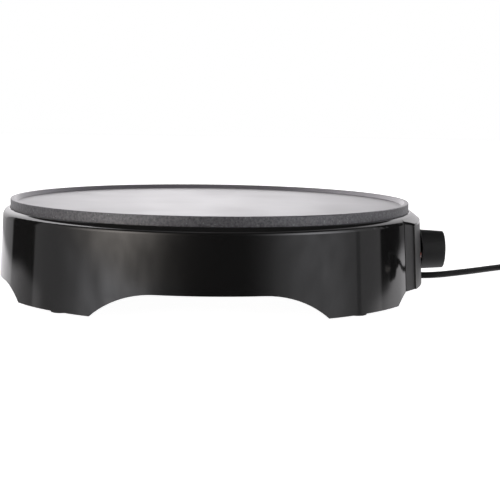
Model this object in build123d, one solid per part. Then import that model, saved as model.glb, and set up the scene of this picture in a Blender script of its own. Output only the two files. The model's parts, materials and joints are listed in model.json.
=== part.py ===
from build123d import *
import os
from math import asin, atan2, cos, degrees, pi, radians, sin, sqrt, tan

# Electric crepe maker. Millimetres, +Z up, table at Z = 0.
# Everything is worked out around the hotplate's axis; the knob is on the +X side and the
# front of the appliance faces -Y. The last step moves the whole model in X, so that the
# origin is the bottom centre of the appliance's own box, without its cord.

# ---- Driving dimensions ------------------------------------------------------------------

# Hotplate
plate_radius = 150.0
plate_thickness = 4.1
rim_width = 3.2
rim_height = 2.8
rim_slope_run = 2.0         # how far the rim's inner wall slopes inwards
plate_boss_radius = 6.0
plate_boss_length = 6.8
plate_screw_bite = 6.5      # how far a plate screw reaches into its boss

# Housing
foot_drop = 2.0             # how far the rubber feet hold the legs off the table
housing_height = 59.6       # from the legs' ends to the shoulder's corner, before its rounding
shoulder_rise = 1.3
shoulder_width = 4.0
wall_flare = 3.5            # how much wider the wall is at its foot than at that corner
wall = 2.4
plate_gap = 1.2             # between the hotplate's side and the housing's lip
lip_land = 0.6
lip_depth = 2.6
crease_round = 5.4
lip_round = 0.3
shelf_width = 11.0          # ledge inside the lip, under the plate's edge
plate_sink = 0.1            # how far the plate's underside lies below the lip

# Legs and arches
front_arch_flat = 71.0      # length of the flat top
front_arch_top = 19.1       # height above the table
front_arch_radius = 63.0    # of its two ends
side_arch_flat = 116.0
side_arch_top = 13.45
side_arch_radius = 42.9
leg_depth = 20.7            # from the outside at the foot to the legs' inner face
leg_wall = 2.2
ring_top = 32.0             # top of the legs' inner wall
foot_angle = 42.5           # rubber foot, from the front towards the side
foot_inset = 10.4           # rubber foot's axis, in from the wall's outside at the leg's end
foot_radius = 7.0
foot_stem_radius = 3.0
foot_barb_radius = 4.0
foot_barb_height = 2.0

# Control box
control_half_angle = 28.2   # where its end faces leave the drum, either side of +X
panel_half_angle = 22.5     # where the outer face starts
control_proud = 3.2         # outer face, beyond the drum's wall
control_bottom = 10.3       # height above the table
roof_slope = 38.8           # degrees, of the roof over the control box
panel_reveal = 0.9          # how far the outer panel stands proud of the strips beside it
strip_gap = 1.1             # shadow gap between the drum's cut edge and each of those strips
control_depth = 9.0         # from the drum's wall inwards
visor_thickness = 1.5       # sloping top above the control box
panel_thickness = 2.4
frame_wall = 2.4
frame_tab_width = 12.0
frame_tab_thickness = 2.0
frame_boss_radius = 3.6
frame_boss_length = 4.0
seam = 0.4                  # shadow gap between mouldings

# Knob and thermostat
knob_height = 32.1          # of the knob's axis above the table
knob_radius = 15.1
knob_taper = 1.0            # how much smaller its radius is at the tip
knob_length = 17.8
knob_gap = 0.6              # between the knob's lower edge and the panel
knob_wall = 1.8
knob_hub_radius = 5.0
knob_edge = 1.0
shaft_radius = 3.0
shaft_grip = 13.0           # length of shaft inside the knob
shaft_depth = 8.0           # length of shaft inside the thermostat's body
shaft_clearance = 0.05      # radial running clearance
bushing_radius = 5.0
thermostat_width = 40.0
thermostat_height = 19.0
thermostat_depth = 20.0
thermostat_drop = 7.0       # how far the thermostat reaches below its shaft's axis
bracket_thickness = 1.2
bracket_tab = 5.5           # how far the bracket reaches beyond the body at each end
pad_setback = 4.0           # pad's flat face, in from the frame's inner wall at its middle
blade_width = 6.3
blade_thickness = 0.8
blade_length = 11.0

# Indicator lamps
lamp_offset = 37.0          # either side of the knob's axis
lens_radius = 2.2
lens_dome = 0.9
lens_flange = 0.8           # how much wider its inner flange is
lamp_radius = 2.6
lamp_length = 12.0
lamp_socket_wall = 1.2
lamp_socket_length = 9.0

# Base cover
cover_thickness = 2.5
cover_height = 21.0         # of its underside above the table
post_setback = 32.0         # circle of the plate's screws, in from the hotplate's side
post_angle = 45.0
post_radius = 7.0
lug_setback = 7.0           # circle of the cover's screws, in from the legs' inner wall
lug_angles = (0.0, 60.0, 120.0, 180.0, 240.0, 300.0)   # from the front, anticlockwise
lug_radius = 4.5
lug_height = 8.0
vent_length = 20.0
vent_width = 3.0
vent_pitch = 9.0
vent_count = 9
vent_row_offset = 34.0

# Heater
element_circle = 95.0
element_radius = 4.0
element_gap_angle = 36.0    # left open between its two ends, which face +X
element_drop = 13.0         # length of its two turned-down ends
groove_wall = 3.0
groove_clearance = 0.15
groove_depth = 6.2
terminal_radius = 1.5
terminal_length = 8.0
shield_setback = 16.0       # its rim, in from the hotplate's side
shield_thickness = 0.6
shield_rim = 4.0
spacer_radius = 5.0
spacer_length = 6.4

# Sensor
bulb_radius = 2.0
bulb_length = 40.0
bulb_offset = 24.0          # its axis, in Y from the plate's axis, towards the front
bulb_start = 30.0           # its inner end, in X from the plate's axis
capillary_radius = 0.8
capillary_hole_x = 110.0    # where the capillary passes the heat shield
capillary_hole_radius = 3.0
clip_thickness = 0.8
clip_width = 8.0
clip_wing = 5.0             # length of a clip's fastened side beyond its strap

# Fasteners
plate_screw_radius = 2.0
cover_screw_radius = 1.75
small_screw_radius = 1.5
head_ratio = 1.9            # screw head's radius over the thread's
head_height = 2.2
counterbore_depth = 6.0
screw_clearance = 0.1       # radial, in plain holes
thread_clearance = 0.02     # radial, in threaded holes
snug_clearance = 0.05       # radial, round a part that is pushed into its hole
loose_clearance = 0.3       # radial, round a screw head or a loosely held part
side_head_height = 1.8      # of the heads of the thermostat's and the frame's screws
spot_depth = 0.4            # how deep a screw's seat is sunk into a curved wall

# Mains parts
outlet_setback = 51.6       # outlet block under the cover, its middle in from the cover's edge
outlet_y = 62.5
outlet_height = 8.4         # of the cord's axis above the table, where it leaves the block
outlet_length = 18.0
outlet_width = 15.0
relief_length = 23.0
relief_root_radius = 4.2
relief_tip_radius = 3.4
relief_neck_length = 9.0
relief_flange_radius = 5.0
relief_flange_length = 1.8
clamp_setback = 11.0        # cord clamp's middle, in from the outlet block
clamp_length = 8.0
clamp_height = 6.5
clamp_screw_offset = 7.0    # either side of the cord's axis
core_offset = 1.5           # either side of the cord's axis, of its two cores inside
core_height = 1.2           # of their axes above the cover
block_length = 34.0
block_width = 16.0
block_height = 14.0
block_setback = 40.0        # terminal block's middle, in from the outlet block's
block_y = 88.0
block_ear = 8.0             # length of each end of the block that is screwed down
block_ear_height = 4.0
port_pitch = 8.0
port_height = 7.0           # of the ports' axes above the cover
fuse_radius = 2.0
fuse_length = 24.0
fuse_x = 40.0
fuse_y = 52.0
wire_radius = 1.1
lead_radius = 0.7           # thin leads of the indicator lamps
wire_gap = 0.2              # between a wire's end and the tag that it is joined to

# Power cord
cord_radius = 2.6
cord_turn_radius = 28.6     # at the middle of the coil's turns
cord_coil_side = 10.4       # the coil's section, two turns wide and two high
coil_distance = 186.0       # from the strain relief's tip
coil_y = 105.0
plug_width = 35.3
plug_thickness = 26.0
plug_length = 38.0
plug_neck_length = 16.0
plug_neck_radius = 4.6
pin_radius = 2.4
pin_length = 19.0
pin_spacing = 19.0
plug_taper_length = 9.0

# ---- Worked out from them ----------------------------------------------------------------

leg_end = foot_drop
crease_z = leg_end + housing_height
lip_z = crease_z + shoulder_rise
lip_radius = plate_radius + plate_gap
crease_radius = lip_radius + shoulder_width
foot_end_radius = crease_radius + wall_flare
plate_underside = lip_z - plate_sink
cooking_z = plate_underside + plate_thickness
rim_z = cooking_z + rim_height
draft = wall_flare / housing_height
draft_angle = degrees(atan2(wall_flare, housing_height))
ring_radius = foot_end_radius - leg_depth
cover_radius = ring_radius - seam
outlet_x = cover_radius - outlet_setback
block_x = outlet_x - block_setback
relief_tip_x = outlet_x + outlet_length / 2 + relief_length
coil_x = relief_tip_x + coil_distance
lug_circle = ring_radius - lug_setback
post_circle = plate_radius - post_setback
shield_radius = plate_radius - shield_setback
cover_top = cover_height + cover_thickness


def wall_radius(height):
    """Outside radius of the drum's wall at a height above the table."""
    return crease_radius + draft * (crease_z - height)


panel_at_knob = wall_radius(knob_height) + control_proud
knob_base_x = wall_radius(knob_height - knob_radius) + control_proud + knob_gap
knob_tip_x = knob_base_x + knob_length
frame_inner_at_knob = panel_at_knob - panel_thickness - frame_wall
pad_x = frame_inner_at_knob - pad_setback
shield_z = plate_underside - plate_boss_length - spacer_length - shield_thickness
spacer_bottom = shield_z + shield_thickness
boss_end_z = plate_underside - plate_boss_length
element_z = plate_underside - element_radius
to_middle = Vector((foot_end_radius - knob_tip_x) / 2, 0, 0)


# ---- Helpers -----------------------------------------------------------------------------

def turned(points, sweep_angle=360.0, start=0.0, rounds=()):
    """Solid of revolution about Z from (radius, height) points, started at an angle from +X.

    rounds lists (radius, height, rounding) for the corners that are rounded."""
    profile = make_face(Polyline(*points, close=True))
    for radius, height, rounding in rounds:
        corner = profile.vertices().sort_by_distance((radius, height, 0))[0]
        profile = fillet(corner, rounding)
    body = revolve(Plane.XZ * profile, Axis.Z, sweep_angle)
    return Rot(0, 0, start) * body


def post(radius, bottom, top, x=0.0, y=0.0):
    """Upright cylinder between two heights."""
    return Pos(x, y, bottom) * Cylinder(radius, top - bottom, align=(Align.CENTER, Align.CENTER, Align.MIN))


def block(x_range, y_range, z_range):
    """Box between low and high X, Y and Z."""
    size = [high - low for low, high in (x_range, y_range, z_range)]
    middle = [(high + low) / 2 for low, high in (x_range, y_range, z_range)]
    return Pos(*middle) * Box(*size)


def rod(radius, start, end):
    """Cylinder from one point to another."""
    start, end = Vector(*start), Vector(*end)
    base = Plane(origin=start, z_dir=end - start)
    return base * Cylinder(radius, (end - start).length, align=(Align.CENTER, Align.CENTER, Align.MIN))


def around(radius, angle):
    """Point at an angle from the front (-Y), turning towards +X."""
    return radius * sin(radians(angle)), -radius * cos(radians(angle))


def screw(radius, seat, tip, head_above, x, y):
    """Upright screw: its head lies on the seat's upper or lower side, its tip is at a height."""
    head_end = seat + (head_height if head_above else -head_height)
    head = post(radius * head_ratio, min(seat, head_end), max(seat, head_end), x, y)
    slot_end = head_end - (1.0 if head_above else -1.0)
    slot = block(
        (x - radius * head_ratio, x + radius * head_ratio), (y - 0.4, y + 0.4),
        (min(slot_end, head_end), max(slot_end, head_end)),
    )
    return head - slot + post(radius, min(seat, tip), max(seat, tip), x, y)


def arch_outline(flat, top, radius):
    """Arch seen from its open side: a flat top, and an arc down to below the table at each end."""
    half, low = flat / 2, -1.0
    reach = sqrt(radius**2 - (radius - top + low) ** 2)
    middle = asin(reach / radius) / 2
    mid_x, mid_z = half + radius * sin(middle), top - radius * (1 - cos(middle))
    right = ThreePointArc((half, top), (mid_x, mid_z), (half + reach, low))
    left = ThreePointArc((-half - reach, low), (-mid_x, mid_z), (-half, top))
    edges = [Line((-half, top), (half, top)), right, Line((half + reach, low), (-half - reach, low)), left]
    return make_face(edges)


def arches(growth=0.0):
    """The two through-cuts that leave the four legs, or the same grown by a wall."""
    front = arch_outline(front_arch_flat, front_arch_top + growth, front_arch_radius + growth)
    side = arch_outline(side_arch_flat, side_arch_top + growth, side_arch_radius + growth)
    length = foot_end_radius + 10
    through = extrude(Plane.XZ * front, length, both=True)
    return through + extrude(Plane.YZ * side, length, both=True)


def smooth_path(points, share=0.45):
    """Straight runs joined by tangent arcs, each as large as its two runs allow."""
    corners = [Vector(*p) for p in points]
    radii = []
    for before, here, after in zip(corners, corners[1:], corners[2:]):
        turn = (here - before).get_angle(after - here)
        shorter = min((here - before).length, (after - here).length)
        radii.append(share * shorter / tan(radians(turn) / 2))
    return FilletPolyline(*corners, radius=radii), radii


def pipe(points, radius):
    """Round wire or tube along a path through hand-placed points."""
    path, radii = smooth_path(points)
    section = Plane(origin=path @ 0, z_dir=path % 0) * Circle(radius)
    return sweep(section, path=path), path, radii


# ---- Hotplate and heater -----------------------------------------------------------------

def plate_screw_places():
    return [around(post_circle, post_angle + 90 * k) for k in range(4)]


def element_ends():
    half = radians(element_gap_angle / 2)
    return [(element_circle * cos(half), side * element_circle * sin(half)) for side in (-1, 1)]


def make_hotplate():
    rim_inner = plate_radius - rim_width
    plate = turned([
        (0, plate_underside), (plate_radius, plate_underside), (plate_radius, rim_z),
        (rim_inner, rim_z), (rim_inner - rim_slope_run, cooking_z), (0, cooking_z),
    ])
    rim_edges = plate.edges().filter_by(GeomType.CIRCLE).filter_by(lambda e: e.radius > rim_inner - 0.1)
    plate = fillet(rim_edges.filter_by(lambda e: e.center().Z > rim_z - 0.1), 0.5)
    groove_half = element_radius + groove_clearance
    for inner in (element_circle - groove_half - groove_wall, element_circle + groove_half):
        plate += turned([
            (inner, plate_underside + 0.5), (inner + groove_wall, plate_underside + 0.5),
            (inner + groove_wall, plate_underside - groove_depth), (inner, plate_underside - groove_depth),
        ])
    hole_radius = plate_screw_radius + thread_clearance
    for x, y in plate_screw_places():
        plate += post(plate_boss_radius, boss_end_z, plate_underside + 0.5, x, y)
        plate -= post(hole_radius, boss_end_z - 1, boss_end_z + plate_screw_bite + 1.5, x, y)
    return plate


def make_heating_element():
    start = element_gap_angle / 2
    ring_start = Plane(origin=(element_circle, 0, element_z), x_dir=(1, 0, 0), z_dir=(0, 1, 0))
    ring = revolve(ring_start * Circle(element_radius), Axis.Z, 360 - element_gap_angle)
    element = Rot(0, 0, start) * ring
    for x, y in element_ends():
        element += Pos(x, y, element_z) * Sphere(element_radius)
        element += post(element_radius, element_z - element_drop, element_z, x, y)
    return element


def make_element_terminals():
    end_z = element_z - element_drop
    pins = Part()
    for x, y in element_ends():
        pin = post(terminal_radius, end_z - terminal_length, end_z, x, y)
        blade = block(
            (x - blade_thickness / 2, x + blade_thickness / 2), (y - blade_width / 2, y + blade_width / 2),
            (end_z - terminal_length, end_z - 2.0),
        )
        pins += pin + blade
    return pins


def make_heat_shield():
    outer = shield_radius
    shield = turned([
        (0, shield_z), (outer, shield_z), (outer, shield_z + shield_rim),
        (outer - shield_thickness, shield_z + shield_rim),
        (outer - shield_thickness, spacer_bottom), (0, spacer_bottom),
    ])
    for x, y in plate_screw_places():
        shield -= post(plate_screw_radius + screw_clearance, shield_z - 1, shield_z + 2, x, y)
    for x, y in element_ends():
        shield -= post(element_radius + 1.5, shield_z - 1, shield_z + 2, x, y)
    return shield - post(capillary_hole_radius, shield_z - 1, shield_z + 2, capillary_hole_x, -bulb_offset)


def make_plate_spacers():
    bore = plate_screw_radius + screw_clearance
    spacers = Part()
    for x, y in plate_screw_places():
        spacers += post(spacer_radius, spacer_bottom, boss_end_z, x, y)
        spacers -= post(bore, spacer_bottom - 1, boss_end_z + 1, x, y)
    return spacers


def make_plate_screws():
    seat = cover_height + counterbore_depth
    screws = Part()
    for x, y in plate_screw_places():
        screws += screw(plate_screw_radius, seat, boss_end_z + plate_screw_bite, False, x, y)
    return screws


# ---- Housing -----------------------------------------------------------------------------

def corner_centre():
    """Radius and height of the centre of the arc that rounds the drum's upper corner."""
    lean, fall = radians(draft_angle), atan2(shoulder_rise, shoulder_width)
    wall_out, top_out = (cos(lean), sin(lean)), (sin(fall), cos(fall))
    reach = crease_round / (1 + wall_out[0] * top_out[0] + wall_out[1] * top_out[1])
    middle = (wall_out[0] + top_out[0], wall_out[1] + top_out[1])
    return crease_radius - reach * middle[0], crease_z - reach * middle[1]


def roof_start():
    """Radius where the control box's roof leaves the rounded corner, in line with it."""
    return corner_centre()[0] + crease_round * sin(radians(roof_slope))


def roof_z(radius):
    """Height of the roof over the control box, which runs straight on from the rounded corner."""
    centre_radius, centre_z = corner_centre()
    slope = radians(roof_slope)
    return centre_z + (crease_round - (radius - centre_radius) * sin(slope)) / cos(slope)


def control_zone(proud, bottom, top_drop, half_angle, inner_radius):
    """Wedge of the control box between two angles: outer cone, sloping top, flat bottom."""
    slope = tan(radians(roof_slope))
    below_crease = crease_z - roof_z(0) + top_drop
    edge = (crease_radius + proud + draft * below_crease) / (1 - draft * slope)
    corner = (edge, roof_z(edge) - top_drop)
    section = [
        (inner_radius, bottom), (wall_radius(bottom) + proud, bottom), corner,
        (inner_radius, roof_z(inner_radius) - top_drop),
    ]
    return turned(section, 2 * half_angle, -half_angle)


def slanted_end_cut(side, back=0.0, sink=0.0):
    """Everything outside the slanted end face on one side (-1 front, 1 rear).

    back moves the face inwards, and sink lowers only its end at the outer panel."""
    low = wall_radius(control_bottom)
    start = Vector(low, 0, 0).rotate(Axis.Z, side * control_half_angle)
    end = Vector(low + control_proud - sink, 0, 0).rotate(Axis.Z, side * panel_half_angle)
    outward = (end - start).normalized().cross(Vector(0, 0, side)) * -1
    lean = radians(draft_angle)
    normal = Vector(outward.X * cos(lean), outward.Y * cos(lean), sin(lean))
    origin = Vector(start.X, start.Y, control_bottom) - normal * back
    size = 2 * foot_end_radius
    on_face = (Align.CENTER, Align.CENTER, Align.MIN)
    return Plane(origin=origin, z_dir=normal) * Box(size, size, size / 4, align=on_face)


def control_body(bottom, top_drop, inner_radius, half_angle=control_half_angle, sink=0.0):
    """The control box's own shape, with its slanted ends."""
    zone = control_zone(control_proud, bottom, top_drop, half_angle, inner_radius)
    return zone - slanted_end_cut(-1, sink=sink) - slanted_end_cut(1, sink=sink)


def lug_places():
    return [around(lug_circle, angle) for angle in lug_angles]


def foot_places():
    radius = foot_end_radius - foot_inset
    return {
        "front_right": around(radius, foot_angle), "front_left": around(radius, -foot_angle),
        "rear_right": around(radius, 180 - foot_angle), "rear_left": around(radius, foot_angle - 180),
    }


def frame_screw_places():
    """Screws of the control frame's two tabs: angle from +X and height."""
    angle = control_half_angle + degrees((frame_tab_width / 2 + 1.0) / crease_radius)
    return [(side * angle, height) for side in (-1, 1) for height in (control_bottom + 18, crease_z - 18)]


def tab_outside(height):
    """Outside radius of the control frame's tabs, which lie on bosses inside the drum's wall."""
    return wall_radius(height) - wall - frame_boss_length


def radial_rod(radius, angle, height, start, end):
    """Cylinder along a radius at an angle from +X."""
    c, s = cos(radians(angle)), sin(radians(angle))
    return rod(radius, (start * c, start * s, height), (end * c, end * s, height))


def make_housing():
    shelf_z = lip_z - lip_depth
    lip_inner = lip_radius - lip_land
    shelf_inner = lip_inner - shelf_width
    shell = turned([
        (foot_end_radius, leg_end), (crease_radius, crease_z), (lip_radius, lip_z), (lip_inner, lip_z),
        (lip_inner, shelf_z), (shelf_inner, shelf_z), (shelf_inner, shelf_z - wall),
        (wall_radius(shelf_z - wall) - wall, shelf_z - wall), (foot_end_radius - wall, leg_end),
    ], rounds=[(crease_radius, crease_z, crease_round), (lip_radius, lip_z, lip_round)])
    ring = turned([
        (ring_radius, leg_end), (foot_end_radius - 0.5, leg_end),
        (wall_radius(ring_top) - 0.5, ring_top), (ring_radius, ring_top),
    ])
    pocket = turned([
        (ring_radius + leg_wall, leg_end + leg_wall),
        (wall_radius(leg_end + leg_wall) - wall, leg_end + leg_wall),
        (wall_radius(ring_top + 1) - wall, ring_top + 1), (ring_radius + leg_wall, ring_top + 1),
    ])
    housing = shell + (ring - (pocket - arches(leg_wall)))
    housing -= arches()
    # Sloping top above the control box, and the opening that the control frame fills.
    opening_inner = crease_radius - control_depth
    visor = control_body(control_bottom, 0.0, roof_start())
    visor -= control_body(control_bottom - 1, visor_thickness, lip_radius - 5, control_half_angle + 1)
    opening = turned([
        (opening_inner, control_bottom - seam), (foot_end_radius + 20, control_bottom - seam),
        (foot_end_radius + 20, roof_z(foot_end_radius + 20) - visor_thickness),
        (roof_start(), roof_z(roof_start()) - visor_thickness), (opening_inner, shelf_z - wall),
    ], 2 * control_half_angle, -control_half_angle)
    housing = housing - opening + visor
    # Room for the thermostat in the legs' inner wall.
    half_room = thermostat_width / 2 + bracket_tab + 2
    room = (ring_radius - 10, opening_inner + 1)
    housing -= block(room, (-half_room, half_room), (cover_top, ring_top + 1))
    # Screw lugs for the base cover, each joined to the wall by a rib.
    for (x, y), angle in zip(lug_places(), lug_angles):
        lug = post(lug_radius, cover_top, cover_top + lug_height, x, y)
        rib = Rot(0, 0, angle - 90) * block(
            (lug_circle, ring_radius + leg_wall), (-1.5, 1.5), (cover_top, cover_top + lug_height)
        )
        housing += lug + rib
    for x, y in lug_places():
        hole_top = cover_top + lug_height - 1.5
        housing -= post(cover_screw_radius + thread_clearance, cover_top - 1, hole_top, x, y)
    for x, y in foot_places().values():
        housing -= post(foot_stem_radius + 0.05, leg_end - 1, leg_end + leg_wall + 1, x, y)
    for angle, height in frame_screw_places():
        boss_end = tab_outside(height) + loose_clearance
        housing += radial_rod(frame_boss_radius, angle, height, boss_end, wall_radius(height) - wall + 0.5)
        hole_end = wall_radius(height) - wall / 2
        housing -= radial_rod(small_screw_radius + thread_clearance, angle, height, boss_end - 1, hole_end)
    return housing


def make_feet():
    feet = {}
    for place, (x, y) in foot_places().items():
        pad = fillet(post(foot_radius, 0, leg_end, x, y).edges().group_by(Axis.Z)[0], 0.6)
        stem = post(foot_stem_radius, leg_end, leg_end + leg_wall + 0.1, x, y)
        barb_bottom = leg_end + leg_wall + 0.1
        barb = post(foot_barb_radius, barb_bottom, barb_bottom + foot_barb_height, x, y)
        feet["rubber_foot_" + place] = pad + stem + barb
    return feet


# ---- Base cover --------------------------------------------------------------------------

def outlet_block():
    half_l, half_w = outlet_length / 2, outlet_width / 2
    bottom = outlet_height - relief_flange_radius - 1.6
    return block(
        (outlet_x - half_l, outlet_x + half_l), (outlet_y - half_w, outlet_y + half_w),
        (bottom, cover_height + 0.5),
    )


def make_base_cover():
    cover = post(cover_radius, cover_height, cover_top)
    for x, y in plate_screw_places():
        cover += post(post_radius, cover_height, shield_z, x, y)
    cover += fillet(outlet_block().edges().filter_by(Axis.Z), 2.0)
    for x, y in plate_screw_places():
        cover -= post(plate_screw_radius + screw_clearance, cover_height - 1, shield_z + 1, x, y)
        head_room = plate_screw_radius * head_ratio + loose_clearance
        cover -= post(head_room, cover_height - 1, cover_height + counterbore_depth, x, y)
    for x, y in lug_places():
        cover -= post(cover_screw_radius + screw_clearance, cover_height - 1, cover_top + 1, x, y)
    half_run = vent_pitch * (vent_count - 1) / 2
    for row in (-1, 1):
        for k in range(vent_count):
            x = k * vent_pitch - half_run
            y = row * vent_row_offset
            outline = Pos(x, y, cover_height - 1) * SlotOverall(vent_length, vent_width, rotation=90)
            cover -= extrude(outline, cover_thickness + 2)
    # Bore of the outlet: a snug neck, a flange pocket behind it, and a way up for the leads.
    start = outlet_x + outlet_length / 2
    def bore(radius, outer_x, inner_x):
        return rod(radius, (outer_x, outlet_y, outlet_height), (inner_x, outlet_y, outlet_height))

    cover -= bore(relief_root_radius + snug_clearance, start + 1, start - relief_neck_length)
    flange_start = start - relief_neck_length + relief_flange_length
    inner_end = outlet_x - outlet_length / 2 + 2.0
    cover -= bore(relief_flange_radius + 0.1, flange_start, inner_end)
    way_up = (outlet_y - 4.0, outlet_y + 4.0)
    cover -= block((inner_end, flange_start), way_up, (outlet_height, cover_top + 1))
    for x, y in clamp_screw_places() + terminal_screw_places():
        cover -= post(small_screw_radius + thread_clearance, cover_height - 1, cover_top + 1, x, y)
    return cover


def make_cover_screws():
    screws = Part()
    for x, y in lug_places():
        screws += screw(cover_screw_radius, cover_height, cover_top + lug_height - 2.0, False, x, y)
    return screws


# ---- Control box, thermostat and lamps ---------------------------------------------------

def lamp_places():
    """Angle from +X of each lamp, the indicator lamps being level with the knob."""
    angle = degrees(asin(lamp_offset / panel_at_knob))
    return {"power": -angle, "ready": angle}


def panel_core(grow):
    """Outer face's plate: the space it takes, with or without room around it."""
    top_drop = visor_thickness + seam - grow
    bottom = control_bottom - grow
    half = panel_half_angle + degrees(grow / crease_radius)
    outer = control_zone(control_proud, bottom, top_drop, half, crease_radius - 2)
    inner_proud = control_proud - panel_thickness - grow / 4
    inner = control_zone(inner_proud, bottom - 1, top_drop - 1, half + 1, crease_radius - 6)
    return outer - inner


def make_control_frame():
    top_drop = visor_thickness + seam
    inner_radius = crease_radius - control_depth + 0.3
    side_angle = control_half_angle - degrees(strip_gap / crease_radius)
    body = control_body(control_bottom, top_drop, inner_radius, side_angle, panel_reveal)
    body -= post(crease_radius - wall / 2, lip_z - lip_depth - wall - seam, lip_z + 20)
    hollow_shrink = panel_thickness + frame_wall
    hollow = control_zone(
        control_proud - hollow_shrink, control_bottom + frame_wall, top_drop + frame_wall,
        side_angle - degrees(frame_wall / crease_radius), inner_radius - 1,
    )
    hollow -= slanted_end_cut(-1, frame_wall, panel_reveal)
    hollow -= slanted_end_cut(1, frame_wall, panel_reveal)
    frame = body - hollow - panel_core(0.2)
    # Tabs that lie on the bosses inside the drum's wall.
    for side in (-1, 1):
        start = side * (side_angle - degrees(frame_wall / crease_radius))
        angle = degrees((frame_tab_width + frame_wall + strip_gap + 1.0) / crease_radius)
        low, high = control_bottom + 10, crease_z - 10
        tab = turned([
            (tab_outside(low) - frame_tab_thickness, low), (tab_outside(low), low),
            (tab_outside(high), high), (tab_outside(high) - frame_tab_thickness, high),
        ], angle, start if side > 0 else start - angle)
        frame += tab
    for angle, height in frame_screw_places():
        inside = tab_outside(height) - frame_tab_thickness
        bore = small_screw_radius + screw_clearance
        frame -= radial_rod(bore, angle, height, inside - 1, tab_outside(height) + 1)
        spot = small_screw_radius * head_ratio + loose_clearance
        frame -= radial_rod(spot, angle, height, inside - 1, inside + spot_depth)
    # Flat pad that the thermostat's bracket is screwed to.
    pad_half = thermostat_width / 2 + bracket_tab
    low, high = knob_height - thermostat_drop, knob_height - thermostat_drop + thermostat_height
    pad = block((pad_x, frame_inner_at_knob + 1.0), (-pad_half, pad_half), (low, high))
    within = control_proud - panel_thickness - 0.5
    frame += pad & control_zone(within, control_bottom, top_drop, panel_half_angle, pad_x - 5)
    frame -= rod(bushing_radius + 0.1, (pad_x - 1, 0, knob_height), (panel_at_knob + 1, 0, knob_height))
    for y, z in thermostat_screw_places():
        frame -= rod(small_screw_radius + screw_clearance, (pad_x - 1, y, z), (panel_at_knob + 1, y, z))
        head_room = small_screw_radius * head_ratio + loose_clearance
        frame -= rod(head_room, (screw_seat(y), y, z), (panel_at_knob + 1, y, z))
    for angle in lamp_places().values():
        socket_start = frame_inner_at_knob - lamp_socket_length
        socket_radius = lamp_radius + 0.1 + lamp_socket_wall
        frame += radial_rod(socket_radius, angle, knob_height, socket_start, frame_inner_at_knob + 0.5)
        frame -= radial_rod(lamp_radius + 0.1, angle, knob_height, socket_start - 1, panel_at_knob)
        flange_room = lens_radius + lens_flange + 0.1
        frame -= radial_rod(flange_room, angle, knob_height, lens_back() - 0.1, panel_at_knob)
    return frame


def make_frame_screws():
    """Four screws from inside, through the frame's tabs into the drum's bosses."""
    screws = Part()
    for angle, height in frame_screw_places():
        seat = tab_outside(height) - frame_tab_thickness + spot_depth
        tip = wall_radius(height) - wall / 2 - 0.5
        screws += radial_rod(small_screw_radius, angle, height, seat, tip)
        screws += radial_rod(small_screw_radius * head_ratio, angle, height, seat - side_head_height, seat)
    return screws


def make_control_panel():
    panel = panel_core(0.0)
    panel -= rod(shaft_radius + 0.8, (pad_x, 0, knob_height), (knob_base_x, 0, knob_height))
    for angle in lamp_places().values():
        hole_radius = lens_radius + snug_clearance
        panel -= radial_rod(hole_radius, angle, knob_height, crease_radius - 6, panel_at_knob + 3)
    return panel


def lens_back():
    """Radius of the back of a lens's flange, at its place in the panel."""
    return panel_at_knob - panel_thickness - 1.3


def make_lamp_lens(angle):
    surface = panel_at_knob
    inner = lens_back() + 1.0
    dome_radius = (lens_radius**2 + (lens_dome * 0.6) ** 2) / (2 * lens_dome * 0.6)
    c, s = cos(radians(angle)), sin(radians(angle))
    centre = surface + lens_dome - dome_radius
    ball = Pos(centre * c, centre * s, knob_height) * Sphere(dome_radius)
    lens = radial_rod(lens_radius, angle, knob_height, lens_back() + 0.5, surface + lens_dome + 1) & ball
    flange = radial_rod(lens_radius + lens_flange, angle, knob_height, lens_back(), inner)
    return lens + flange


def make_indicator_lamps():
    front = lens_back() - loose_clearance
    lamps = Part()
    for angle in lamp_places().values():
        lamps += radial_rod(lamp_radius, angle, knob_height, front - lamp_length, front)
    return lamps


def thermostat_screw_places():
    half = thermostat_width / 2 + bracket_tab / 2
    middle = knob_height - thermostat_drop + thermostat_height / 2
    return [(-half, middle), (half, middle)]


def screw_seat(y):
    """Where a thermostat screw's head is seated in the frame, sunk below the panel's inner face."""
    return sqrt((panel_at_knob - panel_thickness) ** 2 - y**2) - side_head_height - 0.8


def make_thermostat_bracket():
    half = thermostat_width / 2 + bracket_tab
    low, high = knob_height - thermostat_drop, knob_height - thermostat_drop + thermostat_height
    plate = block((pad_x - bracket_thickness, pad_x), (-half, half), (low, high))
    bushing_end = frame_inner_at_knob + frame_wall - 0.6
    plate += rod(bushing_radius, (pad_x - bracket_thickness, 0, knob_height), (bushing_end, 0, knob_height))
    plate -= rod(shaft_radius + shaft_clearance, (pad_x - 5, 0, knob_height), (panel_at_knob, 0, knob_height))
    for y, z in thermostat_screw_places():
        plate -= rod(small_screw_radius + thread_clearance, (pad_x - 3, y, z), (pad_x + 1, y, z))
    return plate


def make_thermostat_screws():
    screws = Part()
    for y, z in thermostat_screw_places():
        seat = screw_seat(y)
        screws += rod(small_screw_radius, (pad_x - bracket_thickness - 1.0, y, z), (seat, y, z))
        head_end = seat + side_head_height
        head = rod(small_screw_radius * head_ratio, (seat, y, z), (head_end, y, z))
        head -= block((head_end - 0.8, head_end + 1), (y - 3, y + 3), (z - 0.35, z + 0.35))
        screws += head
    return screws


def thermostat_back():
    return pad_x - bracket_thickness - thermostat_depth


def make_thermostat_body():
    half = thermostat_width / 2
    low = knob_height - thermostat_drop
    depth = (thermostat_back(), pad_x - bracket_thickness)
    body = block(depth, (-half, half), (low, low + thermostat_height))
    body = fillet(body.edges().filter_by(Axis.X), 2.5)
    hole_end = pad_x - bracket_thickness - shaft_depth - 0.5
    return body - rod(shaft_radius + shaft_clearance, (hole_end, 0, knob_height), (pad_x, 0, knob_height))


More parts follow.
